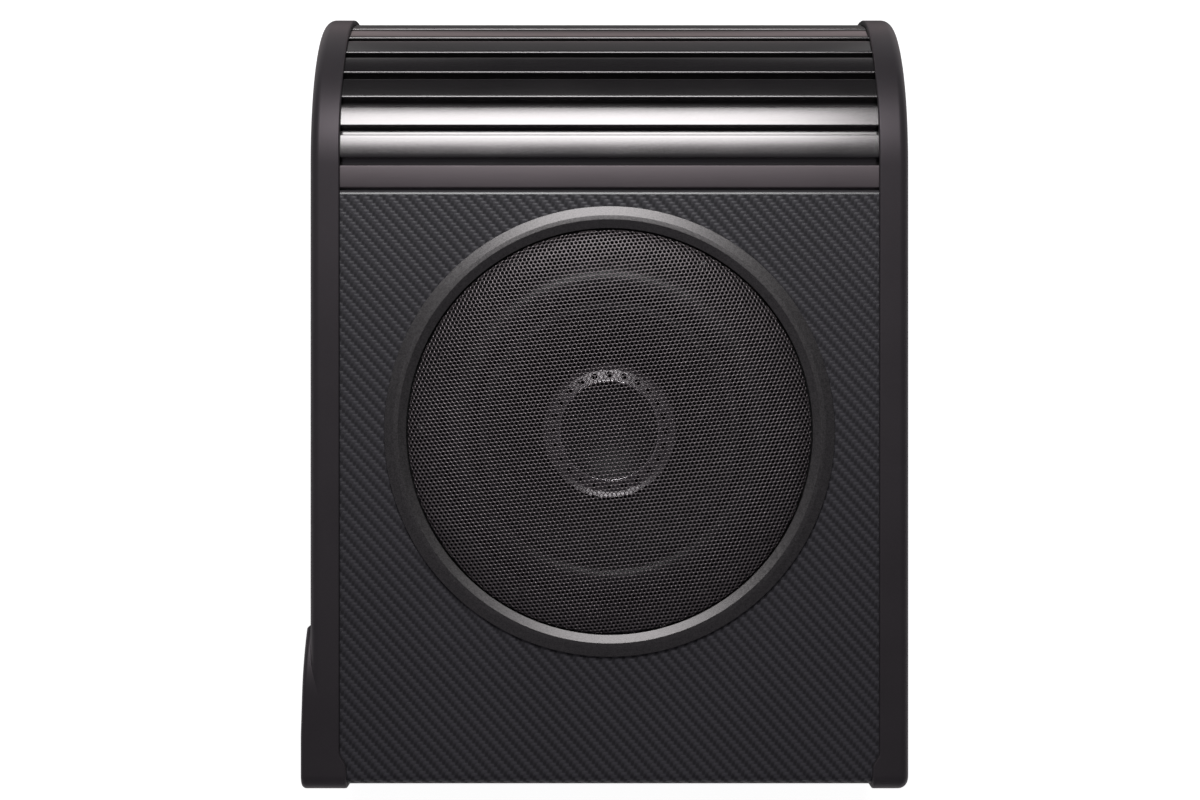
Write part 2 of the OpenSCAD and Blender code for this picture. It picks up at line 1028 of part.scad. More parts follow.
module surround() {
    half = roll_w / 2;
    roll_r = (half * half + roll_h * roll_h) / (2 * roll_h);
    middle = cone_r + half;
    color("#202021")
        at_driver(flange_top)
            rotate_extrude()
                union() {
                    intersection() {
                        translate([middle, foot_t + roll_h - roll_r])
                            difference() {
                                circle(roll_r);
                                circle(roll_r - foot_t);
                            }
                        translate([cone_r, 0])
                            square([roll_w, roll_h + 2 * foot_t]);
                    }
                    translate([roll_out - foot_t / 2, 0])
                        square([foot_w + foot_t / 2, foot_t]);
                    translate([cone_r - lap_w, foot_t])
                        square([lap_w + foot_t, foot_t]);
                }
}

// Height of the cone over its neck
function cone_z(r) = cone_depth * (1 - pow(max(0, 1 - (r - neck_r) / (cone_r - neck_r)), 1.8));

module cone() {
    steps = 9;
    rs = [for (i = [0:steps]) neck_r + (cone_r - neck_r) * i / steps];
    color("#29292b")
        at_driver(neck_z)
            rotate_extrude()
                polygon(concat(
                    [for (r = rs) [r, cone_z(r)]],
                    [for (i = [steps:-1:0]) [rs[i], cone_z(rs[i]) - cone_t]]
                ));
}

module dust_cap_ring() {
    t = cap_ring_t;
    band_in = cap_r + fit + bead_w;
    band_out = cap_ring_r - cap_lip_w;
    color("#39393b")
        at_driver(neck_z + cone_z(cap_ring_r) + cap_glue)
            difference() {
                rotate_extrude()
                    polygon([
                        [cap_r + fit, cap_ring_slope],
                        [cap_ring_r, 0],
                        [cap_ring_r, t + cap_lip_h],
                        [band_out, t - cap_band_drop],
                        [band_in, t + cap_ring_slope],
                        [band_in - bead_w / 2, t + cap_ring_slope + bead_h],
                        [cap_r + fit, t + cap_ring_slope + bead_h / 2]
                    ]);
                bolts((band_in + band_out) / 2, vent_count)
                    cylinder(r = vent_r, h = cap_ring_t * 4);
            }
}

module dust_cap() {
    dish_r = (cap_r * cap_r + cap_dish * cap_dish) / (2 * cap_dish);
    color("#242426")
        at_driver(neck_z + cone_z(cap_ring_r) + cap_glue + cap_ring_t + cap_ring_slope / 2)
            rotate_extrude()
                intersection() {
                    translate([0, dish_r - cap_dish])
                        difference() {
                            circle(dish_r + cap_t);
                            circle(dish_r);
                        }
                    translate([0, -cap_dish - 2 * cap_t])
                        square([cap_r, cap_dish + 3 * cap_t]);
                }
}

module coil_former() {
    color("#c9a15a")
        at_driver(0)
            ring(former_r, former_r - former_t, coil_mid - winding_len / 2, neck_z + over);
}

module voice_coil() {
    z0 = coil_mid - winding_len / 2;
    color("#b46a3a")
        at_driver(0)
            ring(former_r + winding_t, former_r + fit / 2, z0, z0 + winding_len);
}

module spider() {
    waves = 4;
    steps = waves * 6;
    r0 = former_r + fit;
    r1 = cup_r - landing_w + over;
    rs = [for (i = [0:steps]) r0 + (r1 - r0) * i / steps];
    zs = [for (i = [0:steps]) fit + wave_h * (1 - cos(360 * waves * i / steps))];
    color("#b89b4e")
        at_driver(landing_z) {
            rotate_extrude()
                polygon(concat(
                    [for (i = [0:steps]) [rs[i], zs[i] + spider_t]],
                    [for (i = [steps:-1:0]) [rs[i], zs[i]]]
                ));
            ring(cup_r - cup_wall, r1 - fit, 0, spider_t + fit);
        }
}

module top_plate() {
    color("#7d7f83")
        at_driver(0)
            ring(magnet_r - iron_step, gap_out, plate_z - iron_t, plate_z);
}

module magnet() {
    color("#333336")
        at_driver(0)
            ring(magnet_r, gap_out + iron_step / 2, plate_z - iron_t - magnet_t, plate_z - iron_t);
}

module pole_plate() {
    z0 = plate_z - iron_t - magnet_t - iron_t;
    color("#7d7f83")
        at_driver(z0)
            difference() {
                union() {
                    cylinder(r = magnet_r - iron_step, h = iron_t);
                    cylinder(r = gap_in, h = plate_z - z0);
                }
                translate([0, 0, -over])
                    cylinder(r = pole_vent_r, h = plate_z - z0 + 2 * over);
            }
}

module driver_terminals() {
    color("#c7b27a")
        translate([0, tag_y, plate_z]) {
            translate([-tag_w / 2, fit, 0])
                cube([tag_w, tag_out, tag_t]);
            for (s = [-1, 1])
                translate([s * lead_x - tab_w / 2, tag_out - tab_len, tag_t])
                    cube([tab_w, tab_len, tab_t]);
        }
}

module tinsel_leads() {
    y0 = tag_y + tag_out - tab_len + over;
    color("#c7b27a")
        for (s = [-1, 1])
            wire([
                [s * lead_x, y0, tab_z],
                [s * lead_x, y0, landing_z],
                [s * lead_x, driver_y + tinsel_end, neck_z + cone_z(tinsel_end) - cone_t - over]
            ], tinsel_r);
}

module speaker_wires() {
    z0 = tab_z + lead_r;
    color("#a02020")
        for (s = [-1, 1])
            wire([
                [s * lead_x, tag_y + tag_out - tab_w, z0],
                [s * lead_x, tag_y + wire_out, z0],
                [s * lead_x, divider_y - wire_in, pane_z],
                [s * lead_x, wood_top + wire_turn, pane_z],
                [s * lead_x, wood_top + wire_bend, pane_z - wire_drop],
                [s * lead_x, wood_top + wire_bend, pcb_top]
            ], lead_r);
}

module wire_grommet() {
    color("#1c1c1c")
        difference() {
            translate([0, divider_y, pane_z])
                rotate([-90, 0, 0])
                    cylinder(r = grommet_r - fit / 2, h = board_t);
            for (s = [-1, 1])
                translate([s * lead_x, divider_y - over, pane_z])
                    rotate([-90, 0, 0])
                        cylinder(r = lead_r + fit, h = board_t + 2 * over);
        }
}

module circuit_board() {
    x0 = -ctrl_x + pcb_gap;
    x1 = ctrl_x - ctrl_t - pcb_gap;
    color("#1f5a34")
        difference() {
            translate([x0, wood_top + pcb_edge, pcb_z])
                cube([x1 - x0, wall_y - wood_top - pcb_edge - over, pcb_t]);
            post_spots()
                translate([0, 0, pcb_z - over])
                    cylinder(r = small_screw_r + fit, h = pcb_t + 2 * over);
        }
}

module post_spots() {
    for (p = post_places)
        translate([p[0], wood_top + p[1], 0])
            children();
}

module board_posts() {
    color("#c9b458")
        post_spots() {
            translate([0, 0, board_t])
                cylinder(r = post_r, h = post_h);
            translate([0, 0, pcb_z - over])
                cylinder(r = small_screw_r, h = pcb_t + 2 * over);
            translate([0, 0, pcb_top])
                cylinder(r = small_head_r, h = small_head_h);
        }
}

function fet_x(i) = (i - (fet_count - 1) / 2) * fet_step;
function clamp_spots() = [for (i = [0:2:fet_count - 2]) (fet_x(i) + fet_x(i + 1)) / 2];

module power_transistors() {
    color("#1b1b1d")
        for (i = [0:fet_count - 1])
            translate([fet_x(i), wall_y - fet_t, fet_z]) {
                translate([-fet_w / 2, 0, 0])
                    cube([fet_w, fet_t, fet_h]);
                for (j = [-1, 0, 1])
                    translate([j * leg_step - leg_w / 2, leg_in, -fet_lift])
                        cube([leg_w, leg_t, fet_lift + over]);
            }
}

module transistor_clamp() {
    len = (fet_count - 1) * fet_step + fet_w;
    color("#a9abad")
        difference() {
            translate([-len / 2, clamp_y, clamp_z - clamp_h / 2])
                cube([len, clamp_t, clamp_h]);
            for (x = clamp_spots())
                translate([x, clamp_y - over, clamp_z])
                    rotate([-90, 0, 0])
                        cylinder(r = small_screw_r + fit, h = clamp_t + 2 * over);
        }
}

module clamp_screws() {
    color("#8c8c90")
        for (x = clamp_spots())
            translate([x, clamp_y, clamp_z])
                rotate([-90, 0, 0]) {
                    translate([0, 0, -small_head_h])
                        cylinder(r = small_head_r, h = small_head_h);
                    cylinder(r = small_screw_r, h = clamp_t + fet_t + sink_wall - 2 * over);
                }
}

module capacitors() {
    color("#23252b")
        for (s = [-1, 1])
            for (i = [0, 1])
                translate([s * (can_first + i * can_step), wood_top + can_up, pcb_top])
                    cylinder(r = cap_can_r, h = cap_can_h);
}

module toroid_coils() {
    color("#8a4b22")
        for (x = [-coil_x, 0])
            translate([x, wood_top + coil_up, pcb_top])
                rotate_extrude()
                    translate([coil_ring, coil_wire])
                        circle(coil_wire);
}

module plate_outline() {
    intersection() {
        outline(bore_in + fit);
        translate([wood_top + fit, board_t + fit])
            square([shoulder_r * 2, cab_d]);
    }
}

module end_plate() {
    difference() {
        along_x(plate_x, plate_t)
            plate_outline();
        for (b = bosses)
            face_x(plate_x - over, b[0], b[1])
                cylinder(r = small_screw_r + fit, h = plate_t + 2 * over);
        children();
    }
}

module plate_bore(y, z, r) {
    face_x(plate_x - over, y, z)
        cylinder(r = r, h = plate_t + 2 * over);
}

module plate_slot(y, z, wy, wz) {
    block(plate_x - over, plate_out + over, y, z, wy + 2 * fit, wz + 2 * fit);
}

module left_end_plate() {
    color("#303034")
        mirror([1, 0, 0])
            end_plate() {
                plate_slot(pane_y, row_low, term_len, term_h);
                plate_slot(pane_y, fuse_z, holder_len, holder_h);
            }
}

module right_end_plate() {
    color("#303034")
        end_plate() {
            for (y = [pane_y - column, pane_y])
                plate_bore(y, row_low, rca_neck_r + fit);
            plate_slot(pane_y + column, row_low, socket_w, socket_h);
            for (i = [-1:1])
                plate_bore(pane_y + i * column, row_mid, shaft_r + pot_neck + fit);
            plate_slot(pane_y - column, row_top, jack_w, jack_h);
            plate_slot(switch_y, row_top, lever_slot_y, lever_slot_z);
            plate_bore(pane_y + column, row_top, led_r + fit);
        }
}

module end_plate_screws() {
    color("#8c8c90")
        for (m = [0, 1])
            mirror([m, 0, 0])
                for (b = bosses) {
                    face_x(plate_out, b[0], b[1])
                        cylinder(r = small_head_r, h = small_head_h);
                    face_x(plate_out - plate_screw_len, b[0], b[1])
                        cylinder(r = small_screw_r, h = plate_screw_len + over);
                }
}

module terminal_strip() {
    color("#1e1e20")
        mirror([1, 0, 0])
            difference() {
                union() {
                    block(ctrl_x, term_x, pane_y, row_low, term_len, term_h);
                    for (i = [-1.5:1:1.5])
                        block(
                            ctrl_x, term_x + barrier_out,
                            pane_y + i * term_pitch, row_low, barrier_t, term_h
                        );
                }
                for (i = [-1:1])
                    face_x(term_x - term_screw_len - over, pane_y + i * term_pitch, row_low)
                        cylinder(r = term_screw_r + fit, h = term_screw_len + 2 * over);
            }
}

module terminal_screws() {
    color("#d0cdb8")
        mirror([1, 0, 0])
            for (i = [-1:1]) {
                face_x(term_x, pane_y + i * term_pitch, row_low)
                    cylinder(r = term_head_r, h = term_head_h);
                face_x(term_x - term_screw_len, pane_y + i * term_pitch, row_low)
                    cylinder(r = term_screw_r, h = term_screw_len + over);
            }
}

// Blade fuse number i, larger all round by the stated gap where it cuts its own seat
module fuse(i, gap, out) {
    y = pane_y + (i - 0.5) * fuse_step;
    block(fuse_seat - gap, out, y, fuse_z, fuse_w + 2 * gap, fuse_t + 2 * gap);
    for (s = [-1, 1])
        block(
            fuse_seat - blade_len - gap, fuse_seat + over,
            y + s * blade_off, fuse_z, blade_w + 2 * gap, blade_t + 2 * gap
        );
}

module fuse_holder() {
    color("#1e1e20")
        mirror([1, 0, 0])
            difference() {
                block(ctrl_x, holder_x, pane_y, fuse_z, holder_len, holder_h);
                for (i = [0, 1])
                    fuse(i, fuse_gap, holder_x + over);
            }
}

module fuse_one() {
    color("#c8432e")
        mirror([1, 0, 0])
            fuse(0, 0, holder_x + fuse_grip);
}

module fuse_two() {
    color("#c8432e")
        mirror([1, 0, 0])
            fuse(1, 0, holder_x + fuse_grip);
}

module control_board() {
    color("#1f5a34")
        block(ctrl_x - ctrl_t, ctrl_x, pane_y, pane_z, ctrl_w, ctrl_h);
}

module rca_jacks() {
    color("#c9b458")
        for (y = [pane_y - column, pane_y])
            difference() {
                union() {
                    block(ctrl_x, plate_x, y, row_low, rca_body, rca_body);
                    face_x(plate_x - over, y, row_low)
                        cylinder(r = rca_neck_r, h = plate_t + over);
                    face_x(plate_out, y, row_low)
                        cylinder(r = rca_nut_r, h = rca_nut_t);
                    face_x(plate_out, y, row_low)
                        cylinder(r = rca_r, h = rca_len);
                }
                face_x(plate_out + over, y, row_low)
                    cylinder(r = rca_pin_r, h = rca_len);
            }
}

module high_level_socket() {
    color("#e2ded2")
        difference() {
            block(ctrl_x, plate_out + socket_out, pane_y + column, row_low, socket_w, socket_h);
            block(
                plate_out + socket_out - socket_deep, plate_out + socket_out + over,
                pane_y + column, row_low, socket_w - 2 * socket_wall_y, socket_h - 2 * socket_wall_z
            );
        }
}

module remote_jack() {
    color("#1e1e20")
        difference() {
            block(ctrl_x, plate_out + jack_out, pane_y - column, row_top, jack_w, jack_h);
            block(
                plate_out + jack_out - jack_deep, plate_out + jack_out + over,
                pane_y - column, row_top, jack_w - 2 * jack_wall_y, jack_h - 2 * jack_wall_z
            );
        }
}

module control_pots() {
    color("#4a6a8a")
        for (i = [-1:1])
            difference() {
                union() {
                    block(ctrl_x, plate_x, pane_y + i * column, row_mid, pot_w, pot_w);
                    face_x(plate_x - over, pane_y + i * column, row_mid)
                        cylinder(r = shaft_r + pot_neck, h = plate_t + over);
                }
                face_x(plate_out - shaft_len - shaft_play, pane_y + i * column, row_mid)
                    cylinder(r = shaft_r + shaft_fit, h = shaft_len + 2 * over);
            }
}

// Fluted knob on its shaft
module knob(i) {
    color("#2a2a2c")
        face_x(plate_out, pane_y + i * column, row_mid)
            difference() {
                union() {
                    translate([0, 0, -shaft_len])
                        cylinder(r = shaft_r, h = shaft_len + over);
                    translate([0, 0, knob_gap])
                        cylinder(r = knob_r, h = knob_len);
                }
                bolts(knob_r + flute_off, flute_count)
                    translate([0, 0, flute_start])
                        cylinder(r = flute_r, h = knob_len);
                translate([-knob_r - over, -pointer_w / 2, knob_len])
                    cube([knob_r, pointer_w, over]);
            }
}

module gain_knob() {
    knob(-1);
}

module crossover_knob() {
    knob(0);
}

module bass_boost_knob() {
    knob(1);
}

module phase_switch() {
    color("#a9abad")
        difference() {
            block(ctrl_x, plate_x, switch_y, row_top, switch_w, switch_h);
            block(plate_x - switch_deep, plate_x + over, switch_y, row_top, lever_slot_y, lever_slot_z);
        }
}

module phase_lever() {
    color("#1e1e20")
        block(
            plate_x - lever_in, plate_out + lever_out,
            switch_y - lever_throw / 2, row_top, lever_y, lever_z
        );
}

module power_led() {
    color("#3a6fd0") {
        face_x(ctrl_x, pane_y + column, row_top)
            cylinder(r = led_r, h = plate_out - ctrl_x + led_out);
        face_x(plate_out + led_out, pane_y + column, row_top)
            sphere(led_r);
    }
}

front_baffle();
corner_batten();
end_panel();
back_panel();
amp_divider();
side_board_left();
side_board_right();
vinyl_wrap();
left_cheek();
right_cheek();
cheek_screws();
port_tube();
heat_sink();
label_strip();
grille_ring();
grille_mesh();
frame_gasket();
basket();
trim_ring();
driver_screws();
surround();
cone();
dust_cap();
dust_cap_ring();
coil_former();
voice_coil();
spider();
top_plate();
magnet();
pole_plate();
driver_terminals();
tinsel_leads();
speaker_wires();
wire_grommet();
circuit_board();
board_posts();
power_transistors();
transistor_clamp();
clamp_screws();
capacitors();
toroid_coils();
left_end_plate();
right_end_plate();
end_plate_screws();
terminal_strip();
terminal_screws();
fuse_holder();
fuse_one();
fuse_two();
control_board();
rca_jacks();
high_level_socket();
remote_jack();
control_pots();
gain_knob();
crossover_knob();
bass_boost_knob();
phase_switch();
phase_lever();
power_led();
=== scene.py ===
import math

import bmesh
import bpy
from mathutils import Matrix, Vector
from mathutils.geometry import tessellate_polygon


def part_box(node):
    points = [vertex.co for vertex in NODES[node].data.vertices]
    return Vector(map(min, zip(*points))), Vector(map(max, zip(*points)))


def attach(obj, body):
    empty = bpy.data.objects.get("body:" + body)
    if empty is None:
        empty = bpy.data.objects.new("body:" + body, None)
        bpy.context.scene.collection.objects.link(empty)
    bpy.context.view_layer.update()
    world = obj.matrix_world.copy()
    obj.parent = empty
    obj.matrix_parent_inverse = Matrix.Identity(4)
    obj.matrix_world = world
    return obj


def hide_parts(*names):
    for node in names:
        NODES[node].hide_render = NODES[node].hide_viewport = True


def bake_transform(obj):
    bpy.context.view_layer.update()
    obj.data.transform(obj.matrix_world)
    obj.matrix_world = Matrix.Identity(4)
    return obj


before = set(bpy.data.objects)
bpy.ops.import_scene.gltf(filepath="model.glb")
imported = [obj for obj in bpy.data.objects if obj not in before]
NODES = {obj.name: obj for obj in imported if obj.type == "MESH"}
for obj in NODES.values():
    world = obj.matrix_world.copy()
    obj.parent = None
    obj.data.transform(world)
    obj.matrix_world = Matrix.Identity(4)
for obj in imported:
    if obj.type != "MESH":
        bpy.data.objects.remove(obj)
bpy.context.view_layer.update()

# The object lies on its back: X runs across, Y from the toe to the heat sink, Z out of the grille.
MM = 0.001
SIDES = {-1: "left", 1: "right"}
ENDS = {-1: "low", 1: "high"}

# Cabinet
CHEEK_T = 4 * MM
RIM_PROUD = 2.5 * MM
SHOULDER_R = 88 * MM
TOE_R = 8 * MM
CHEEK_LEAST, CHEEK_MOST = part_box("right_cheek")
CAB_D = CHEEK_MOST[2]
CAB_X = CHEEK_MOST[0] - CHEEK_T
Y_BOT = CHEEK_LEAST[1]
Y_TOP = CHEEK_MOST[1]
FACE_Z = CAB_D - RIM_PROUD
SHOULDER_Y = Y_TOP - SHOULDER_R
SHOULDER_Z = CAB_D - SHOULDER_R
TOE_Y = Y_BOT + TOE_R
TOE_Z = CAB_D - TOE_R
WOOD_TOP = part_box("vinyl_wrap")[1][1]
CLEAR = 0.1 * MM

# Vinyl
WRAP_T = 0.7 * MM
VINYL_EDGE = 2.5 * MM
VINYL_LAP = 0.9 * MM
VINYL_TUCK = 0.05 * MM
VINYL_UNDER = 6 * MM

# Cheeks
CHEEK_X = CAB_X + CHEEK_T
RIM_X = CHEEK_X - 15.3 * MM
CHEEK_UNDER = RIM_PROUD - 0.2 * MM
CHEEK_LIP = 1 * MM
CHEEK_FILLET = 5 * MM
HEEL_W = 3.4 * MM
HEEL_Y = Y_BOT + 11.5 * MM
HEEL_RUN = 8 * MM
PANE_Y = WOOD_TOP + 40.5 * MM
PANE_Z = 67 * MM
WINDOW_Y = 62 * MM
WINDOW_Z = 86 * MM
WINDOW_R = 5 * MM
WINDOW_EDGE = 1 * MM

# Port and the bulge round its mouth
PORT_Y = Y_BOT + 48 * MM
PORT_Z = CAB_D - 60 * MM
PORT_R = 24 * MM
BULGE_R = 55 * MM
BULGE_END = Y_BOT + 83 * MM
BULGE_FULL = Y_BOT + 27.5 * MM
BULGE_H = 4.7 * MM
BULGE_LOW = 3 * MM
BULGE_EDGE = 2.5 * MM
BULGE_FLARE = 5 * MM

# Amplifier panels: a tick or pointer has its start and end from the knob's axis, and half its width
PLATE_X = CAB_X - 9 * MM
COLUMN = 19 * MM
ROW_LOW = PANE_Z - 26 * MM
ROW_MID = PANE_Z + 2 * MM
KNOB_R = 6.5 * MM
KNOB_TOP = 10 * MM
TICK_COUNT = 11
TICK_FIRST_DEG = -150
TICK_STEP_DEG = 30
TICK = (KNOB_R + 1 * MM, KNOB_R + 2.4 * MM, 0.3 * MM)
TICK_SUNK = 0.05 * MM
TICK_PROUD = 0.12 * MM
POINTER = (0.2 * MM, KNOB_R - 0.4 * MM, 0.45 * MM)
POINTER_TOP = 0.1 * MM
POINTER_LOW = 0.6 * MM
JACK_FACE = PLATE_X + 9.5 * MM
JACK_R = 3.3 * MM
JACK_BORE = 1.75 * MM
JACK_DEEP = 0.3 * MM
JACK_PROUD = 0.1 * MM

# Screws: where they sit, then radius and height of the head, radius of the shank, and length
CHEEK_BOLTS = [
    (WOOD_TOP - 24 * MM, 30 * MM),
    (WOOD_TOP - 24 * MM, 126.8 * MM),
    (Y_BOT + 110 * MM, 126.8 * MM),
    (Y_BOT + 130 * MM, 24 * MM),
    (Y_BOT + 26 * MM, 24 * MM),
]
PLATE_BOLTS = [
    (WOOD_TOP + 5.5 * MM, 144 * MM),
    (SHOULDER_Y + 55.155 * MM, 118.28 * MM),
    (Y_TOP - 16 * MM, 58.7 * MM),
]
BOLT_R = 96.8 * MM
CHEEK_SCREW = (4 * MM, 2.2 * MM, 1.75 * MM, 14 * MM)
PLATE_SCREW = (3 * MM, 2 * MM, 1.5 * MM, 11 * MM)
STRIP_SCREW = (4 * MM, 3.2 * MM, 1.9 * MM, 8 * MM)
STRIP_FACE = PLATE_X + 3 * MM
STRIP_STEP = 18 * MM
FRAME_SCREW = (3.6 * MM, 2.2 * MM, 2 * MM, 15 * MM)

# Screw heads, in shares of the head: the crown of a pan head, and the cross recess
CROWN = [(1.0, 0.45), (0.96, 0.7), (0.86, 0.9), (0.72, 1.0)]
RECESS_W = 0.18
RECESS_L = 0.66
RECESS_DEEP = 0.6
RECESS_TAPER = 0.8
RECESS_LEAST = 0.8 * MM

# Grille
RING_LEAST, RING_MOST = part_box("grille_ring")
DRIVER = Vector(((RING_LEAST[0] + RING_MOST[0]) / 2, (RING_LEAST[1] + RING_MOST[1]) / 2, 0))
RING_R = (RING_MOST[0] - RING_LEAST[0]) / 2
RING_IN = RING_R - 11.2 * MM
RING_H = RING_MOST[2] - FACE_Z
RING_SLOPE = 4.3 * MM
RING_FLAT = 2.1 * MM
RING_FALL = 0.15 * MM
RING_EDGE = 1.6 * MM
RING_LIP = 1.15 * MM
RING_SEAT = 0.5 * MM
RING_SEAT_W = 1.4 * MM
RING_EASE = 0.12 * MM
MESH_R = RING_IN - 0.8 * MM
DOME_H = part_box("grille_mesh")[1][2] - FACE_Z - RING_SEAT
HOLE_PITCH = 2.16 * MM
HOLE_R = 0.85 * MM
SHEET_T = 0.8 * MM
HOLE_TILT = math.radians(6.3)

# Driver
FLANGE_TOP = FACE_Z - 6.2 * MM
TRIM_TOP = FLANGE_TOP + 3 * MM
CONE_R = 66.5 * MM
ROLL_W = 21 * MM
ROLL_H = 6.5 * MM
ROLL_T = 1 * MM
ROLL_RIM = 5.5 * MM
ROLL_FOOT = 4 * MM
NECK_Z = FLANGE_TOP - 30.3 * MM
LANDING_Z = NECK_Z - 11 * MM
COIL_R = 25.5 * MM
CUP_R = 58 * MM
SPIDER_WAVES = 4
SPIDER_H = 1.6 * MM
SPIDER_T = 0.7 * MM
SPIDER_OUT = CUP_R - 8 * MM
SPIDER_RIM = CUP_R - 3 * MM
WEDGES = 24
LEAD_X = 6 * MM
LEAD_R = 0.6 * MM
LEAD_BOW = 2 * MM
LEAD_LOW = (DRIVER.y + 62 * MM, NECK_Z - 19.2 * MM)
LEAD_HIGH = (DRIVER.y + 44 * MM, NECK_Z + 18.5 * MM)

# Dust cap ring
CAP_R = 25.2 * MM
CAP_LIP = 2.8 * MM
CAP_LIP_H = 2.3 * MM
BEAD_W = 1.4 * MM
BAND_HIGH = 2.5 * MM
BAND_LOW = 1.2 * MM
VENT_COUNT = 24
VENT_R = 1.6 * MM
RIVET_R = 0.45 * MM

# Heat sink
SINK_R = SHOULDER_R - RIM_PROUD
SINK_WALL = 5 * MM
FIN_H = 5 * MM
FIN_GROOVE = 4.4 * MM
FIN_PITCH = math.radians(10.95)
FIN_START = math.radians(2.6)
FIN_COUNT = 7
FINS_BELOW = 3
FIN_EDGE_LOW = 1 * MM
FIN_EDGE_HIGH = 0.6 * MM
STRIP_GROOVE = 3.7 * MM
STRIP_W = 12 * MM
STRIP_T = 2.5 * MM
STRIP_EDGE = 0.9 * MM
BOARD_T = 12 * MM

# Steps of the rounded forms
SHOULDER_STEPS = 40
TOE_STEPS = 20
HEEL_STEPS = 8
EDGE_STEPS = 6
TURN_STEPS = 192

# Colours
MOULD_GLOSS = (1.0, 0.88, 0.96, 1.0)
WHITE = (1.0, 1.0, 1.0)

# Floor: levels by the distance from the middle, in metres. Mirrored, the floor glows as a painted
# reflection:
# a warm pool beyond the heat sink, left dark next to the cabinet as painted shadow, and glow at the sides.
# The paper's colour is darker next to the cabinet, as painted shade.
FLOOR_HALF = 3.0
FLOOR_GLOW = 0.92
POOL_WIDE = 1.45
POOL_TINT = (1.22, 0.91, 0.93)
POOL_STOPS = [(0.0, 0.0), (0.285, 0.0), (0.3, 0.12), (0.318, 0.54), (0.345, 0.47), (0.375, 0.18),
              (0.42, 0.05), (0.5, 0.0)]
SIDE_SHIFT = 50 * MM
SIDE_STOPS = [(0.0, 0.0), (0.165, 0.0), (0.2, 0.4), (0.7, 0.4), (1.0, 0.3)]
PAPER = 0.42
PAPER_SHADE_STOPS = [(0.0, 0.17), (0.285, 0.17), (0.325, PAPER), (1.0, PAPER)]

# Room: levels from straight down to straight up
ROOM_STOPS = [(0.0, 0.1), (0.5, 0.14), (0.62, 0.1), (0.75, 0.075), (0.92, 0.12), (1.0, 0.13)]
ROOM_TINT = (0.99, 0.94, 1.05)
ROOM_LEAN = (-0.28, -0.38, 0)

# Lamps
SOFT_AT = (-0.045, 0.72, 1.01)
SOFT_AIM = (-0.02, 0.13, 0.15)
SOFT_SIZE = (0.57, 0.46)
SOFT_RADIANCE = 10.0
PANEL_AT = (0, -1.3, 0.62)
PANEL_SIZE = (1.6, 0.6)
PANEL_RADIANCE = 0.06
FILL_REACH = 0.8
FILL_SIZE = (1.0, 0.15)
FILL_RADIANCE = 2.4

# Camera, as the photograph was taken: square on, about a metre from the front
CAMERA_AT = (-4.8 * MM, -4.45 * MM, 1210 * MM)
CAMERA_LENS = 61.8
CAMERA_SENSOR = 36
CAMERA_NEAR = 10 * MM


# Mesh building
def link(name, data):
    obj = bpy.data.objects.new(name, data)
    bpy.context.scene.collection.objects.link(obj)
    return obj


def piece(name, shell, look, node=None, body="cabinet", smooth=35, outward=True):
    """A mesh piece on a body, in place of a CAD node, smooth up to an edge angle."""
    mesh = bpy.data.meshes.new(name)
    mesh.from_pydata(shell.verts, [], shell.faces)
    mesh.validate()
    mesh.update()
    if outward:
        recalc(mesh)
    obj = link(name, mesh)
    soften(mesh, smooth)
    mesh.materials.append(MATERIALS[look])
    if body:
        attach(obj, body)
    if node:
        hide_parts(node)
    return obj


def recalc(mesh):
    """Turns the faces outwards."""
    bm = bmesh.new()
    bm.from_mesh(mesh)
    bmesh.ops.recalc_face_normals(bm, faces=bm.faces[:])
    bm.to_mesh(mesh)
    bm.free()


def soften(mesh, angle):
    for polygon in mesh.polygons:
        polygon.use_smooth = True
    mesh.set_sharp_from_angle(angle=math.radians(angle))


def lathe(profile, count, centre, start=0.0, sweep=math.tau):
    """Turns a closed list of (r, z) points about the Z axis through centre."""
    full = abs(sweep - math.tau) < 1e-6
    columns = count if full else count + 1
    shell = Shell()
    for i in range(columns):
        a = start + sweep * i / count
        for r, z in profile:
            shell.verts.append((centre[0] + r * math.cos(a), centre[1] + r * math.sin(a), centre[2] + z))
    n = len(profile)
    for i in range(count):
        a = i * n
        b = ((i + 1) % columns) * n
        for j in range(n):
            k = (j + 1) % n
            shell.faces.append((a + j, b + j, b + k, a + k))
    if not full:
        shell.faces += [tuple(range(n)), tuple(range(count * n + n - 1, count * n - 1, -1))]
    return shell


def extrude_x(profile, x0, x1):
    """A closed (y, z) profile between two X planes."""
    shell = Shell()
    near, far = shell.stack([at_x(x0, profile), at_x(x1, profile)])
    shell.faces += [tuple(near), tuple(reversed(far))]
    return shell


def arc(cy, cz, r, a0, a1, steps):
    """Points from angle a0 to a1, both from +Z towards +Y."""
    angles = [a0 + (a1 - a0) * i / steps for i in range(steps + 1)]
    return [(cy + r * math.sin(a), cz + r * math.cos(a)) for a in angles]


def circle(cy, cz, r, steps=24):
    return arc(cy, cz, r, 0, math.tau, steps)[:-1]


def at_x(x, points):
    return [(x, y, z) for y, z in points]


def quarter(steps):
    """Sine and cosine at even steps over a quarter turn."""
    angles = [math.pi / 2 * i / steps for i in range(steps + 1)]
    return [(math.sin(a), math.cos(a)) for a in angles]


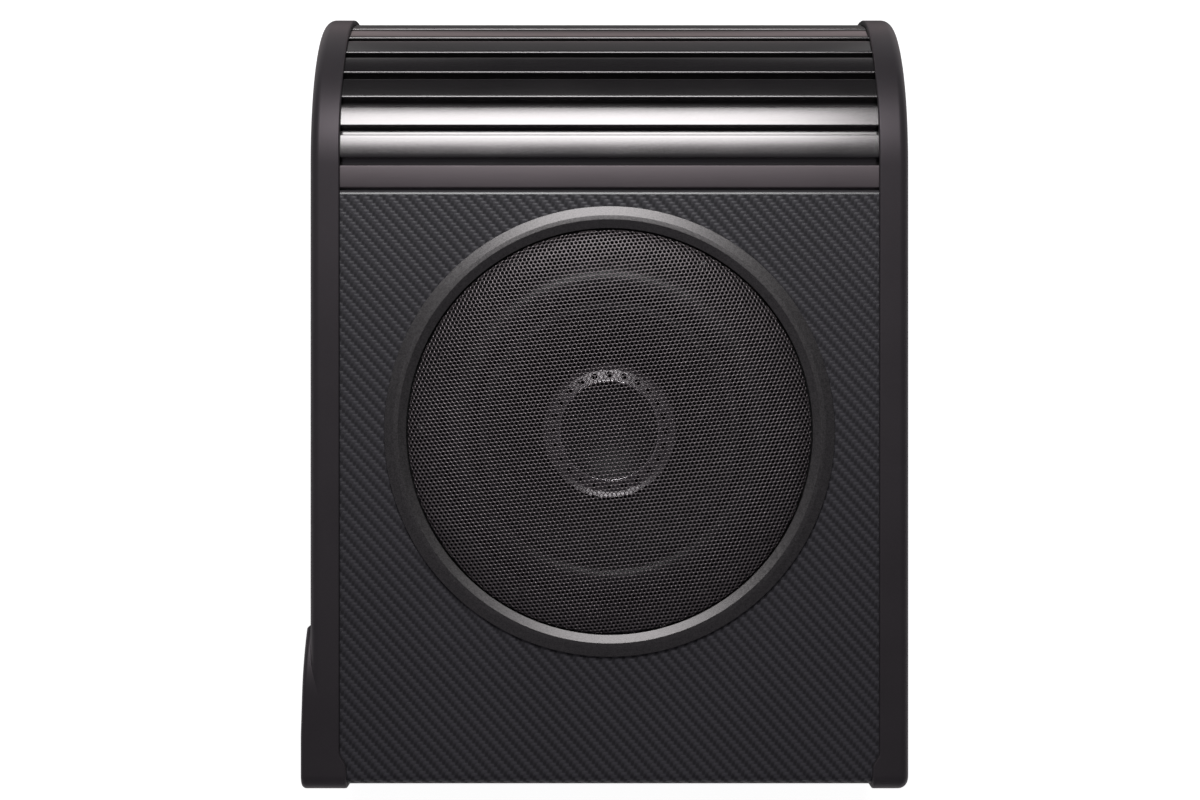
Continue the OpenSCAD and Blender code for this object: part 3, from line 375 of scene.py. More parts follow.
class Shell:
    """Gathers the points and faces of one mesh, mirrored in X where side is -1."""

    def __init__(self, side=1):
        self.side = side
        self.verts = []
        self.faces = []

    def loop(self, points):
        """Adds points and gives their numbers."""
        first = len(self.verts)
        self.verts += [(self.side * x, y, z) for x, y, z in points]
        return list(range(first, len(self.verts)))

    def bridge(self, a, b, closed=True):
        """A strip of faces between two loops of the same length."""
        count = len(a) if closed else len(a) - 1
        for i in range(count):
            j = (i + 1) % len(a)
            self.faces.append((a[i], a[j], b[j], b[i]))

    def fill(self, *loops):
        """A flat face with the first loop as its edge and the others as holes."""
        flat = [i for loop in loops for i in loop]
        corners = [[Vector(self.verts[i]) for i in loop] for loop in loops]
        for triangle in tessellate_polygon(corners):
            self.faces.append(tuple(flat[k] for k in triangle))

    def stack(self, loops, closed=True):
        """Adds loops of points with strips of faces between them."""
        rings = [self.loop(points) for points in loops]
        for a, b in zip(rings, rings[1:]):
            self.bridge(a, b, closed)
        return rings

    def take(self, other):
        """Adds the points and faces of another shell as they are."""
        first = len(self.verts)
        self.verts += other.verts
        self.faces += [tuple(i + first for i in face) for face in other.faces]


# Materials
class Graph:
    """Small helper that builds the nodes of a material or of the world."""

    def __init__(self, owner, coords):
        owner.use_nodes = True
        self.tree = owner.node_tree
        self.coords = self.add("ShaderNodeTexCoord").outputs[coords]

    def add(self, kind, **inputs):
        node = self.tree.nodes.new(kind)
        self.fill(node, inputs)
        return node

    def fill(self, node, inputs):
        for key, value in inputs.items():
            self.set(node.inputs[key.replace("_", " ")], value)

    def set(self, socket, value):
        if isinstance(value, bpy.types.NodeSocket):
            self.tree.links.new(value, socket)
        else:
            socket.default_value = value

    def math(self, operation, a, b=None, kind="ShaderNodeMath", output=0):
        node = self.tree.nodes.new(kind)
        node.operation = operation
        self.set(node.inputs[0], a)
        if b is not None:
            self.set(node.inputs[1], b)
        return node.outputs[output]

    def vector(self, operation, a, b, output="Vector"):
        return self.math(operation, a, b, "ShaderNodeVectorMath", output)

    def mix(self, a, b, share):
        """The stated share of a, and b for the rest."""
        return self.math("ADD", self.math("MULTIPLY", a, share), self.math("MULTIPLY", b, 1 - share))

    def noise(self, scale, detail=3.0, rough=0.55, stretch=None):
        vector = self.coords
        if stretch:
            vector = self.add("ShaderNodeMapping", Vector=vector, Scale=stretch).outputs[0]
        node = self.add("ShaderNodeTexNoise", Vector=vector, Scale=scale, Detail=detail, Roughness=rough)
        return node.outputs["Fac"]

    def spread(self, factor, low, high, start=0.3, end=0.7):
        """Maps a factor between start and end to a value between low and high."""
        node = self.add("ShaderNodeMapRange", Value=factor, From_Min=start, From_Max=end,
                        To_Min=low, To_Max=high)
        return node.outputs[0]

    def ramp(self, factor, stops):
        node = self.tree.nodes.new("ShaderNodeValToRGB")
        while len(node.color_ramp.elements) < len(stops):
            node.color_ramp.elements.new(0.5)
        for element, (position, colour) in zip(node.color_ramp.elements, stops):
            element.position = position
            element.color = (*colour, 1)
        self.set(node.inputs[0], factor)
        return node.outputs[0]

    def shade(self, factor, colour, levels):
        """One colour at several levels of light."""
        return self.ramp(factor, [(place, tint(colour, level)) for place, level in levels])

    def show(self, output, joint, *shaders):
        """Puts two shaders through an add or mix node to the tree's output."""
        for socket, shader in zip(list(joint.inputs)[-2:], shaders):
            self.set(socket, shader.outputs[0])
        self.set(self.tree.nodes[output].inputs["Surface"], joint.outputs[0])


class Paint(Graph):
    """A material with one principled shader."""

    def __init__(self, name):
        self.material = bpy.data.materials.new(name)
        super().__init__(self.material, "Object")
        self.shader = self.tree.nodes["Principled BSDF"]

    def bump(self, height, strength, distance):
        node = self.add("ShaderNodeBump", Height=height, Strength=strength, Distance=distance)
        self.set(self.shader.inputs["Normal"], node.outputs[0])

    def finish(self, **inputs):
        self.fill(self.shader, inputs)
        return self.material

    def coat(self, factor, colour, levels, rough, **inputs):
        """Finishes with a colour and a roughness that follow one factor."""
        shade = self.shade(factor, colour, levels)
        return self.finish(Base_Color=shade, Roughness=self.spread(factor, *rough), **inputs)


def tint(colour, factor):
    return tuple(min(1.0, c * factor) for c in colour)


def plain(name, colour, rough, metal=0.0, grain=900.0, vary=0.12, bump=0.12, coat=0.0, spec=0.5):
    """Moulded, painted or plated surface: mottled colour, uneven gloss and a fine grain."""
    g = Paint(name)
    fine = g.noise(grain, 2.0)
    mixed = g.mix(g.noise(38.0, 4.0), fine, 0.6)
    g.bump(fine, bump, 0.05 * MM)
    return g.coat(mixed, colour, [(0.3, 1 - vary), (0.7, 1 + vary)], (rough * 0.9, rough * 1.1),
                  Metallic=metal, Coat_Weight=coat, Specular_IOR_Level=spec)


def brushed(name, colour, rough, along=(1.0, 60.0, 60.0), metal=1.0, bump=0.05):
    """Metal with fine lines along X."""
    g = Paint(name)
    lines = g.noise(90.0, 4.0, 0.6, along)
    mixed = g.mix(lines, g.noise(24.0, 3.0), 0.6)
    g.bump(lines, bump, 0.05 * MM)
    return g.coat(mixed, colour, [(0.3, 0.9), (0.7, 1.1)], (rough * 0.88, rough * 1.12), Metallic=metal)


def sparkle(name, colour, rough):
    """Satin metal-flake lacquer."""
    g = Paint(name)
    cells = g.add("ShaderNodeTexVoronoi", Vector=g.coords, Scale=2600.0)
    flake = g.add("ShaderNodeSeparateColor", Color=cells.outputs["Color"])
    mixed = g.mix(flake.outputs[0], g.noise(700.0, 2.0), 0.5)
    g.bump(flake.outputs[1], 0.06, 0.06 * MM)
    return g.coat(mixed, colour, [(0.2, 0.72), (0.8, 1.3)], (rough * 0.9, rough * 1.1), Metallic=0.85)


def vinyl(name):
    """Black vinyl embossed with a two-by-two twill, laid slightly off square; the weft tows are painted
    lighter and the warp tows darker, as painted highlight and shade.
    """
    tow = 1.66 * MM
    turn = math.radians(2.2)
    g = Paint(name)
    uv = g.add("ShaderNodeUVMap")
    uv.uv_map = "weave"
    weave = g.add("ShaderNodeMapping", Vector=uv.outputs[0], Rotation=(0, 0, turn),
                  Scale=(1 / tow, 1 / tow, 1))
    u, v = g.add("ShaderNodeSeparateXYZ", Vector=weave.outputs[0]).outputs[:2]
    warp = tow_height(g, u, v, 0.0)
    weft = tow_height(g, v, u, 2.0)
    height = g.math("MAXIMUM", g.math("MULTIPLY", warp, 0.5), weft)
    # Painted highlight and shade: weft tows lighter and warp tows darker, as the soft box's light falls on
    # them
    light = g.math("MULTIPLY", g.math("SUBTRACT", weft, warp), 0.5)
    fine = g.noise(1600.0, 2.0)
    cloud = g.noise(16.0, 3.0)
    mixed = g.math("ADD", g.math("ADD", light, 0.4), g.math("MULTIPLY", cloud, 0.2))
    g.bump(g.math("ADD", height, g.math("MULTIPLY", fine, 0.12)), 0.6, 0.2 * MM)
    return g.coat(mixed, (0.033, 0.031, 0.037), [(0.0, 0.5), (1.0, 1.5)], (0.54, 0.44),
                  Specular_IOR_Level=g.spread(mixed, 0.3, 0.62))


def tow_height(g, across, along, shift):
    """Height of the tows that run along one axis: up over two, then under two, stepping one each tow."""
    index = g.math("FLOOR", across)
    inside = g.math("FRACT", across)
    phase = g.math("FLOORED_MODULO", g.math("ADD", g.math("ADD", along, index), shift), 4.0)
    rise = g.math("SINE", g.math("MULTIPLY", phase, math.pi / 2))
    rise = g.math("MAXIMUM", rise, 0.0)
    round_top = g.math("SINE", g.math("MULTIPLY", inside, math.pi))
    round_top = g.math("ADD", g.math("MULTIPLY", round_top, 0.6), 0.4)
    return g.math("MULTIPLY", rise, round_top)


def laminate(name):
    """Glass laminate with lacquered tracks."""
    g = Paint(name)
    brick = g.add("ShaderNodeTexBrick", Vector=g.coords, Scale=160.0, Color1=(0.015, 0.09, 0.035, 1),
                  Color2=(0.02, 0.12, 0.045, 1), Mortar=(0.06, 0.2, 0.08, 1))
    g.bump(brick.outputs["Fac"], 0.2, 0.03 * MM)
    rough = g.spread(g.noise(300.0), 0.3, 0.42)
    return g.finish(Base_Color=brick.outputs["Color"], Roughness=rough)


def board(name, dark, light):
    """Pressed fibre board."""
    g = Paint(name)
    chips = g.noise(420.0, 6.0, 0.7)
    mixed = g.mix(chips, g.noise(30.0), 0.7)
    shade = g.ramp(mixed, [(0.3, dark), (0.7, light)])
    g.bump(chips, 0.4, 0.15 * MM)
    return g.finish(Base_Color=shade, Roughness=g.spread(chips, 0.75, 0.9))


def moulded(name, colour, rough, spec=0.5):
    """Black moulding with a fine spark-eroded grain."""
    g = Paint(name)
    cells = g.add("ShaderNodeTexVoronoi", Vector=g.coords, Scale=1500.0)
    grain = g.mix(cells.outputs["Distance"], g.noise(2400.0, 3.0), 0.6)
    mixed = g.mix(grain, g.noise(20.0, 4.0), 0.4)
    g.bump(grain, 0.1, 0.06 * MM)
    return g.coat(mixed, colour, [(0.25, 0.85), (0.75, 1.15)], (rough * 0.93, rough * 1.07),
                  Specular_IOR_Level=spec, Specular_Tint=MOULD_GLOSS)


def fibre(name, colour, scale, spec=0.5):
    """Treated cloth or paper with crossing threads."""
    g = Paint(name)
    u = g.noise(scale, 3.0, 0.6, (1.0, 9.0, 1.0))
    v = g.noise(scale, 3.0, 0.6, (9.0, 1.0, 1.0))
    both = g.math("MULTIPLY", g.math("ADD", u, v), 0.5)
    g.bump(both, 0.3, 0.1 * MM)
    return g.coat(both, colour, [(0.35, 0.75), (0.65, 1.25)], (0.62, 0.78), Specular_IOR_Level=spec)


def lamp_lens(name):
    """Tinted lens of the power lamp."""
    g = Paint(name)
    glow = g.ramp(g.noise(300.0), [(0.3, (0.05, 0.16, 0.55)), (0.7, (0.08, 0.24, 0.75))])
    return g.finish(Base_Color=glow, Roughness=0.15, Transmission_Weight=0.3)


MATERIALS = {
    "board": board("fibre_board", (0.25, 0.15, 0.075), (0.46, 0.31, 0.18)),
    "black_board": board("stained_board", (0.014, 0.013, 0.013), (0.03, 0.028, 0.028)),
    "vinyl": vinyl("twill_vinyl"),
    "vinyl_fold": plain("stretched_vinyl", (0.043, 0.04, 0.044), 0.32, grain=500.0, spec=0.8),
    "cheek": moulded("cheek_moulding", (0.032, 0.029, 0.0315), 0.42, 0.44),
    "tube": moulded("tube_moulding", (0.016, 0.016, 0.017), 0.5),
    "sink": brushed("anodised_sink", (0.12, 0.115, 0.116), 0.2, metal=0.94, bump=0.025),
    "strip": brushed("brushed_strip", (0.122, 0.106, 0.113), 0.5),
    "ring": sparkle("flake_lacquer", (0.108, 0.103, 0.104), 0.37),
    "mesh": plain("mesh_paint", (0.181, 0.16, 0.167), 0.35, metal=0.85, grain=1500.0, bump=0.02),
    "foam": plain("closed_foam", (0.02, 0.02, 0.02), 0.9, grain=1400.0, bump=0.4),
    "frame": plain("frame_paint", (0.03, 0.03, 0.032), 0.5),
    "rubber": plain("roll_rubber", (0.012, 0.012, 0.013), 0.33, grain=600.0),
    "trim": plain("trim_rubber", (0.009, 0.009, 0.0095), 0.2, grain=600.0, spec=0.35),
    "screw": plain("bright_zinc", (0.62, 0.61, 0.6), 0.22, metal=1.0, vary=0.06),
    "black_screw": plain("black_zinc", (0.05, 0.05, 0.052), 0.35, metal=0.8),
    "cone": fibre("cone_pulp", (0.009, 0.009, 0.0095), 900.0, 0.3),
    "cap": plain("cap_lacquer", (0.016, 0.016, 0.018), 0.4, bump=0.02, spec=0.3),
    "cap_ring": plain("cap_ring_plating", (0.22, 0.207, 0.215), 0.3, metal=0.9, vary=0.06),
    "cap_bead": plain("bead_plating", (0.62, 0.59, 0.61), 0.22, metal=0.95, vary=0.06),
    "former": plain("former_film", (0.5, 0.32, 0.1), 0.35),
    "copper": brushed("enamelled_wire", (0.6, 0.24, 0.1), 0.32, (1.0, 1.0, 40.0)),
    "spider": fibre("spider_cloth", (0.42, 0.3, 0.1), 1500.0),
    "steel": brushed("plated_steel", (0.42, 0.42, 0.43), 0.34),
    "ferrite": plain("ferrite", (0.045, 0.045, 0.048), 0.6, bump=0.25),
    "tinned": brushed("tinned_brass", (0.62, 0.55, 0.36), 0.36),
    "wire": plain("wire_jacket", (0.28, 0.025, 0.022), 0.42),
    "laminate": laminate("circuit_laminate"),
    "chip": plain("chip_epoxy", (0.02, 0.02, 0.021), 0.55),
    "clamp": brushed("clamp_alloy", (0.5, 0.5, 0.51), 0.36),
    "can": plain("can_sleeve", (0.03, 0.035, 0.05), 0.35),
    "plate": moulded("plate_coating", (0.028, 0.028, 0.03), 0.5),
    "terminal": moulded("terminal_moulding", (0.02, 0.02, 0.021), 0.45),
    "fuse": plain("fuse_body", (0.5, 0.07, 0.03), 0.3, coat=0.3),
    "gold": plain("gold_plating", (0.75, 0.52, 0.2), 0.22, metal=1.0, vary=0.06),
    "socket": plain("socket_nylon", (0.66, 0.63, 0.54), 0.45),
    "pot": plain("pot_case", (0.1, 0.18, 0.3), 0.45),
    "knob": moulded("knob_moulding", (0.022, 0.022, 0.023), 0.4),
    "led": lamp_lens("lamp_lens"),
    "marks": plain("mark_paint", (0.6, 0.6, 0.6), 0.5),
    "white_ring": plain("white_nylon", (0.75, 0.74, 0.7), 0.4),
    "red_ring": plain("red_nylon", (0.55, 0.04, 0.03), 0.4),
}

# Solids by the material that they wear
SLOT_NODES = {
    "board": "front_baffle corner_batten end_panel amp_divider side_board_left side_board_right",
    "black_board": "back_panel",
    "vinyl": "vinyl_wrap",
    "cheek": "left_cheek right_cheek",
    "black_screw": "cheek_screws driver_screws",
    "tube": "port_tube",
    "sink": "heat_sink",
    "strip": "label_strip",
    "ring": "grille_ring",
    "mesh": "grille_mesh",
    "foam": "frame_gasket",
    "frame": "basket",
    "trim": "trim_ring",
    "rubber": "surround wire_grommet",
    "cone": "cone",
    "cap": "dust_cap",
    "cap_ring": "dust_cap_ring",
    "former": "coil_former",
    "copper": "voice_coil toroid_coils",
    "spider": "spider",
    "steel": "top_plate pole_plate phase_switch",
    "ferrite": "magnet",
    "tinned": "driver_terminals tinsel_leads board_posts",
    "wire": "speaker_wires",
    "laminate": "circuit_board control_board",
    "chip": "power_transistors",
    "clamp": "transistor_clamp",
    "screw": "clamp_screws end_plate_screws terminal_screws",
    "can": "capacitors",
    "plate": "left_end_plate right_end_plate",
    "terminal": "terminal_strip fuse_holder remote_jack",
    "fuse": "fuse_one fuse_two",
    "gold": "rca_jacks",
    "socket": "high_level_socket",
    "pot": "control_pots",
    "knob": "gain_knob crossover_knob bass_boost_knob phase_lever",
    "led": "power_led",
}


def dress_nodes():
    """Gives every CAD solid the material of its slot."""
    for slot, names in SLOT_NODES.items():
        for name in names.split():
            mesh = NODES[name].data
            mesh.materials.clear()
            mesh.materials.append(MATERIALS[slot])
            soften(mesh, 30)


# Pieces
def outline(inset):
    """Side outline in (y, z), from the back over the shoulder, the front and the toe to the back."""
    points = [(Y_TOP - inset, 0.0)]
    points += arc(SHOULDER_Y, SHOULDER_Z, SHOULDER_R - inset, math.pi / 2, 0, SHOULDER_STEPS)
    points += [(HEEL_Y + HEEL_RUN * (1 - i / HEEL_STEPS), CAB_D - inset) for i in range(HEEL_STEPS + 1)]
    points += arc(TOE_Y, TOE_Z, TOE_R - inset, 0, -math.pi / 2, TOE_STEPS)
    points.append((Y_BOT + inset, 0.0))
    return points


def heel(y):
    """Width that the foot of a cheek adds to its rim, at a height along Y."""
    t = min(1.0, max(0.0, (y - HEEL_Y) / HEEL_RUN))
    return HEEL_W * (1 - t * t * (3 - 2 * t))


def cheek(side):
    """End cheek: a rim over the front and shoulder, rounded edges, a window and screw holes."""
    node = f"{SIDES[side]}_cheek"
    shell = Shell(side)
    rim = [(RIM_X, CHEEK_UNDER)]
    rim += [(RIM_X + CHEEK_LIP * (1 - cos), CHEEK_LIP * (1 - sin)) for sin, cos in quarter(4)]
    edge = [(CHEEK_X - CHEEK_FILLET * (1 - sin), CHEEK_FILLET * (1 - cos)) for sin, cos in quarter(8)]
    sections = [at_x(CAB_X, outline(CHEEK_UNDER))]
    sections += [[(x - heel(y), y, z) for y, z in outline(inset)] for x, inset in rim]
    sections += [at_x(x, outline(inset)) for x, inset in edge]
    rings = shell.stack(sections, closed=False)
    shell.fill([ring[0] for ring in rings] + [ring[-1] for ring in reversed(rings)])
    outer = [rings[-1]]
    inner = [rings[0]]
    for loops in cheek_cuts():
        walls = shell.stack(loops)
        outer.append(walls[0])
        inner.append(walls[-1])
    if side < 0:
        outer.append(shell.loop(at_x(CHEEK_X, port_ring(BULGE_FLARE))))
        inner.append(port_bulge(shell))
    shell.fill(*outer)
    shell.fill(*inner)
    obj = piece(f"{node}_shell", shell, "cheek", node, smooth=40)
    even = obj.modifiers.new("even", "WEIGHTED_NORMAL")
    even.keep_sharp = True
    even.weight = 100


def cheek_cuts():
    """Loops, from the outer face inwards, of the amplifier window and the screw holes."""
    window = []
    for sin, cos in quarter(5):
        x = CHEEK_X - WINDOW_EDGE + WINDOW_EDGE * cos
        window.append(at_x(x, window_ring(WINDOW_EDGE * (1 - sin))))
    window.append(at_x(CAB_X, window_ring(0)))
    cuts = [window]
    head_r, head_h, shank_r, _ = CHEEK_SCREW
    for y, z in CHEEK_BOLTS:
        shank = circle(y, z, shank_r + CLEAR)
        head = circle(y, z, head_r + CLEAR)
        cuts.append([at_x(CHEEK_X, head), at_x(CHEEK_X - head_h, shank), at_x(CAB_X, shank)])
    return cuts


def window_ring(grow):
    """Rounded outline of the amplifier's window."""
    points = []
    for sy, sz, turn in ((1, 1, 0.0), (1, -1, 0.5), (-1, -1, 1.0), (-1, 1, 1.5)):
        y = PANE_Y + sy * (WINDOW_Y / 2 - WINDOW_R)
        z = PANE_Z + sz * (WINDOW_Z / 2 - WINDOW_R)
        points += arc(y, z, WINDOW_R + grow, turn * math.pi, (turn + 0.5) * math.pi, EDGE_STEPS)
    return points


def port_ring(grow):
    return circle(PORT_Y, PORT_Z, PORT_R + grow, 48)


def bulge_height(y):
    """Height of the bulge over the cheek: full towards the toe, and lower towards its upper end."""
    slope = (BULGE_H - BULGE_LOW) / (BULGE_END - BULGE_FULL)
    return BULGE_H - slope * max(0.0, y - BULGE_FULL)


def bulge_outline(inset):
    """Closed outline of the bulge: a round upper end, cut off flat, that runs flush down to the toe."""
    r = BULGE_R - inset
    cz = CAB_D - BULGE_R
    end = BULGE_END - inset
    cut = math.asin((end - PORT_Y) / r)
    points = [(Y_BOT + inset, cz - r), (BULGE_FULL, cz - r)]
    points += arc(PORT_Y, cz, r, math.pi, math.pi - cut, 10)
    points += arc(PORT_Y, cz, r, cut, 0, 10)
    points.append((BULGE_FULL, CAB_D - inset))
    points += arc(TOE_Y, TOE_Z, TOE_R - inset, 0, -math.pi / 2, TOE_STEPS)
    return points


def port_bulge(shell):
    """Adds the bulge with the flared port mouth, and gives the ring that opens into the cabinet."""
    rings = [at_x(CHEEK_X - CHEEK_FILLET, bulge_outline(0))]
    for sin, cos in quarter(6):
        drop = BULGE_EDGE * (1 - sin)
        points = bulge_outline(BULGE_EDGE * (1 - cos))
        rings.append([(CHEEK_X + bulge_height(y) - drop, y, z) for y, z in points])
    top = shell.stack(rings)[-1]
    mouth = []
    for sin, cos in quarter(8):
        drop = BULGE_FLARE * (1 - cos)
        points = port_ring(BULGE_FLARE * (1 - sin))
        mouth.append([(CHEEK_X + bulge_height(y) - drop, y, z) for y, z in points])
    mouth.append(at_x(CAB_X, port_ring(0)))
    loops = shell.stack(mouth)
    shell.fill(top, loops[0])
    return loops[-1]


def vinyl_skin():
    """One wrap from the edge of the heat sink over the front and the toe to the back."""
    edge_y = WOOD_TOP + VINYL_LAP - VINYL_EDGE
    drop = FACE_Z - STRIP_T + VINYL_TUCK
    top = arc(edge_y, FACE_Z - VINYL_EDGE, VINYL_EDGE, math.pi / 2, 0, EDGE_STEPS)
    top.insert(0, (WOOD_TOP + VINYL_LAP, drop))
    toe = arc(TOE_Y, TOE_Z, TOE_R - RIM_PROUD, 0, -math.pi / 2, 24)
    toe.append((Y_BOT + RIM_PROUD, 0.0))
    shell = Shell()
    uvs = []

    def strip(points, length):
        """A band over the whole width, with the length along it as the weave's second axis."""
        shell.stack([[(-CAB_X, *point), (CAB_X, *point)] for point in points], closed=False)
        for last, point in zip(points[:1] + points, points):
            length += math.dist(last, point)
            uvs.extend([(-CAB_X, -length), (CAB_X, -length)])

    strip(top, -edge_y - VINYL_EDGE * (math.pi / 2 - 1) - FACE_Z + drop)
    strip(toe, -TOE_Y)
    spokes = []
    for a in plate_angles(edge_y):
        d = Vector((math.cos(a), math.sin(a), 0))
        ends = [DRIVER + d * reach for reach in (RING_R - VINYL_UNDER, edge_reach(d, edge_y))]
        spokes.append([(p.x, p.y, FACE_Z) for p in ends])
        uvs += [(p.x, p.y) for p in ends]
    spokes = shell.stack(spokes, closed=False)
    shell.bridge(spokes[-1], spokes[0], closed=False)
    obj = piece("vinyl_skin", shell, "vinyl", "vinyl_wrap", smooth=60)
    layer = obj.data.uv_layers.new(name="weave")
    for loop in obj.data.loops:
        layer.data[loop.index].uv = uvs[loop.vertex_index]
    obj.data.materials.append(MATERIALS["vinyl_fold"])
    for polygon in obj.data.polygons[:len(top) - 1]:
        polygon.material_index = 1
    sharpen_border(obj.data)
    thick = obj.modifiers.new("thick", "SOLIDIFY")
    thick.thickness = WRAP_T
    thick.offset = -1


def sharpen_border(mesh):
    """Keeps the shading of a sheet apart from that of the cut edges round it."""
    bm = bmesh.new()
    bm.from_mesh(mesh)
    for edge in bm.edges:
        if edge.is_boundary:
            edge.smooth = False
    bm.to_mesh(mesh)
    bm.free()


def edge_reach(d, top):
    """Distance from the driver's centre to the edge of the flat front, along d."""
    reach = []
    if abs(d.x) > 1e-9:
        reach.append((math.copysign(CAB_X, d.x) - DRIVER.x) / d.x)
    if abs(d.y) > 1e-9:
        limit = top if d.y > 0 else TOE_Y
        reach.append((limit - DRIVER.y) / d.y)
    return min(reach)


def plate_angles(top):
    """Directions from the driver's centre to the points round the flat front, its corners among them."""
    angles = {math.tau * i / 120 for i in range(120)}
    for x in (-CAB_X, CAB_X):
        for y in (TOE_Y, top):
            angles.add(math.atan2(y - DRIVER.y, x - DRIVER.x) % math.tau)
    return sorted(angles)


def fin(a0, a1):
    """Outer contour of one fin between two angles on the shoulder, with rounded edges."""
    low = a0 + FIN_EDGE_LOW / SINK_R
    high = a1 - FIN_EDGE_HIGH / SINK_R
    points = fin_corner(low, FIN_EDGE_LOW, -1)
    points += arc(SHOULDER_Y, SHOULDER_Z, SINK_R, low, high, 8)[1:-1]
    points += fin_corner(high, FIN_EDGE_HIGH, 1)
    return points


def fin_corner(a, edge, side):
    """Rounded edge of a fin at angle a, on its side towards the front (-1) or the back (1)."""
    r = SINK_R - edge
    cy = SHOULDER_Y + r * math.sin(a)
    cz = SHOULDER_Z + r * math.cos(a)
    first, last = sorted((a, a + math.pi / 2 * side))
    return arc(cy, cz, edge, first, last, EDGE_STEPS)


def groove_floor(a0, a1):
    """Bottom of the groove between two fins."""
    r = SINK_R - FIN_H
    middle = (a0 + a1) / 2
    offset = math.asin(FIN_GROOVE / 2 / r)
    return arc(SHOULDER_Y, SHOULDER_Z, r, middle - offset, middle + offset, 2)


def sink_contour():
    """Section of the heat sink: the strip's seat, fins round the shoulder, fins below, then the inside."""
    top_y = SHOULDER_Y + SINK_R
    half = math.asin(FIN_GROOVE / 2 / SINK_R)
    centres = [FIN_START + (i + 1) * FIN_PITCH - half for i in range(FIN_COUNT)]
    start = math.asin(STRIP_GROOVE / SINK_R)
    points = [(WOOD_TOP, FACE_Z - STRIP_T), (SHOULDER_Y, FACE_Z - STRIP_T)]
    points += [(SHOULDER_Y, FACE_Z - FIN_H), (SHOULDER_Y + STRIP_GROOVE, FACE_Z - FIN_H)]
    for c in centres:
        points += fin(start, c - half)
        points += groove_floor(c - half, c + half)
        start = c + half
    last = start + FIN_EDGE_LOW / SINK_R
    points += fin_corner(last, FIN_EDGE_LOW, -1)
    points += arc(SHOULDER_Y, SHOULDER_Z, SINK_R, last, math.pi / 2, 6)[1:]
    step = FIN_PITCH * SINK_R
    edge = FIN_EDGE_LOW
    for i in range(1, FINS_BELOW + 1):
        low = SHOULDER_Z - i * step
        points += arc(top_y - edge, low + FIN_GROOVE + edge, edge, math.pi / 2, math.pi, EDGE_STEPS)
        points += [(top_y - FIN_H, low + FIN_GROOVE), (top_y - FIN_H, low)]
        points += arc(top_y - edge, low - edge, edge, 0, math.pi / 2, EDGE_STEPS)
    points.append((top_y, BOARD_T))
    inner = SINK_R - FIN_H - SINK_WALL
    points.append((SHOULDER_Y + inner, BOARD_T))
    points += arc(SHOULDER_Y, SHOULDER_Z, inner, math.pi / 2, 0, 24)
    points.append((WOOD_TOP, SHOULDER_Z + inner))
    return points


def heat_sink():
    piece("finned_sink", extrude_x(sink_contour(), -CAB_X, CAB_X), "sink", "heat_sink", smooth=32)


def label_strip():
    low = SHOULDER_Y - STRIP_W
    points = [(low, FACE_Z - STRIP_T), (SHOULDER_Y, FACE_Z - STRIP_T)]
    points += arc(SHOULDER_Y - STRIP_EDGE, FACE_Z - STRIP_EDGE, STRIP_EDGE, math.pi / 2, 0, EDGE_STEPS)
    points += arc(low + STRIP_EDGE, FACE_Z - STRIP_EDGE, STRIP_EDGE, 0, -math.pi / 2, EDGE_STEPS)
    piece("plain_strip", extrude_x(points, -CAB_X, CAB_X), "strip", "label_strip", smooth=32)


def grille_ring():
    """Bevelled ring: a slope down to the mesh, a narrow flat and a slope down to the outer edge."""
    flat_in = RING_IN + RING_SLOPE
    flat_out = flat_in + RING_FLAT
    flat_z = RING_H - RING_FALL
    ease = RING_EASE
    profile = [
        (RING_IN, RING_SEAT), (RING_IN + RING_SEAT_W, RING_SEAT), (RING_IN + RING_SEAT_W, 0), (RING_R, 0),
        (RING_R, RING_EDGE - ease), (RING_R - ease, RING_EDGE + ease / 4),
        (flat_out + ease, flat_z - ease / 4), (flat_out - ease, flat_z),
        (flat_in + ease, RING_H), (flat_in - ease, RING_H - ease / 4),
        (RING_IN + ease, RING_LIP + ease / 4), (RING_IN, RING_LIP - ease),
    ]
    ring = lathe(profile, TURN_STEPS, (DRIVER.x, DRIVER.y, FACE_Z))
    piece("grille_bezel", ring, "ring", "grille_ring", smooth=6)


def dome_z(r):
    """Height of the mesh at a radius: flat in the middle and steep at the edge."""
    base = FACE_Z + RING_SEAT
    return base + DOME_H * math.sqrt(max(0.0, 1 - min(1.0, r / MESH_R) ** 4))


def dome_normal(r):
    """Slope of the dome outwards at a radius, as (outwards, up)."""
    step = 0.05 * MM
    drop = (dome_z(r - step) - dome_z(r + step)) / (2 * step)
    length = math.hypot(drop, 1)
    return drop / length, 1 / length


def grille_mesh():
    for side, across in SIDES.items():
        for end, along in ENDS.items():
            mesh_quarter(f"perforated_grille_{along}_{across}", side, end)


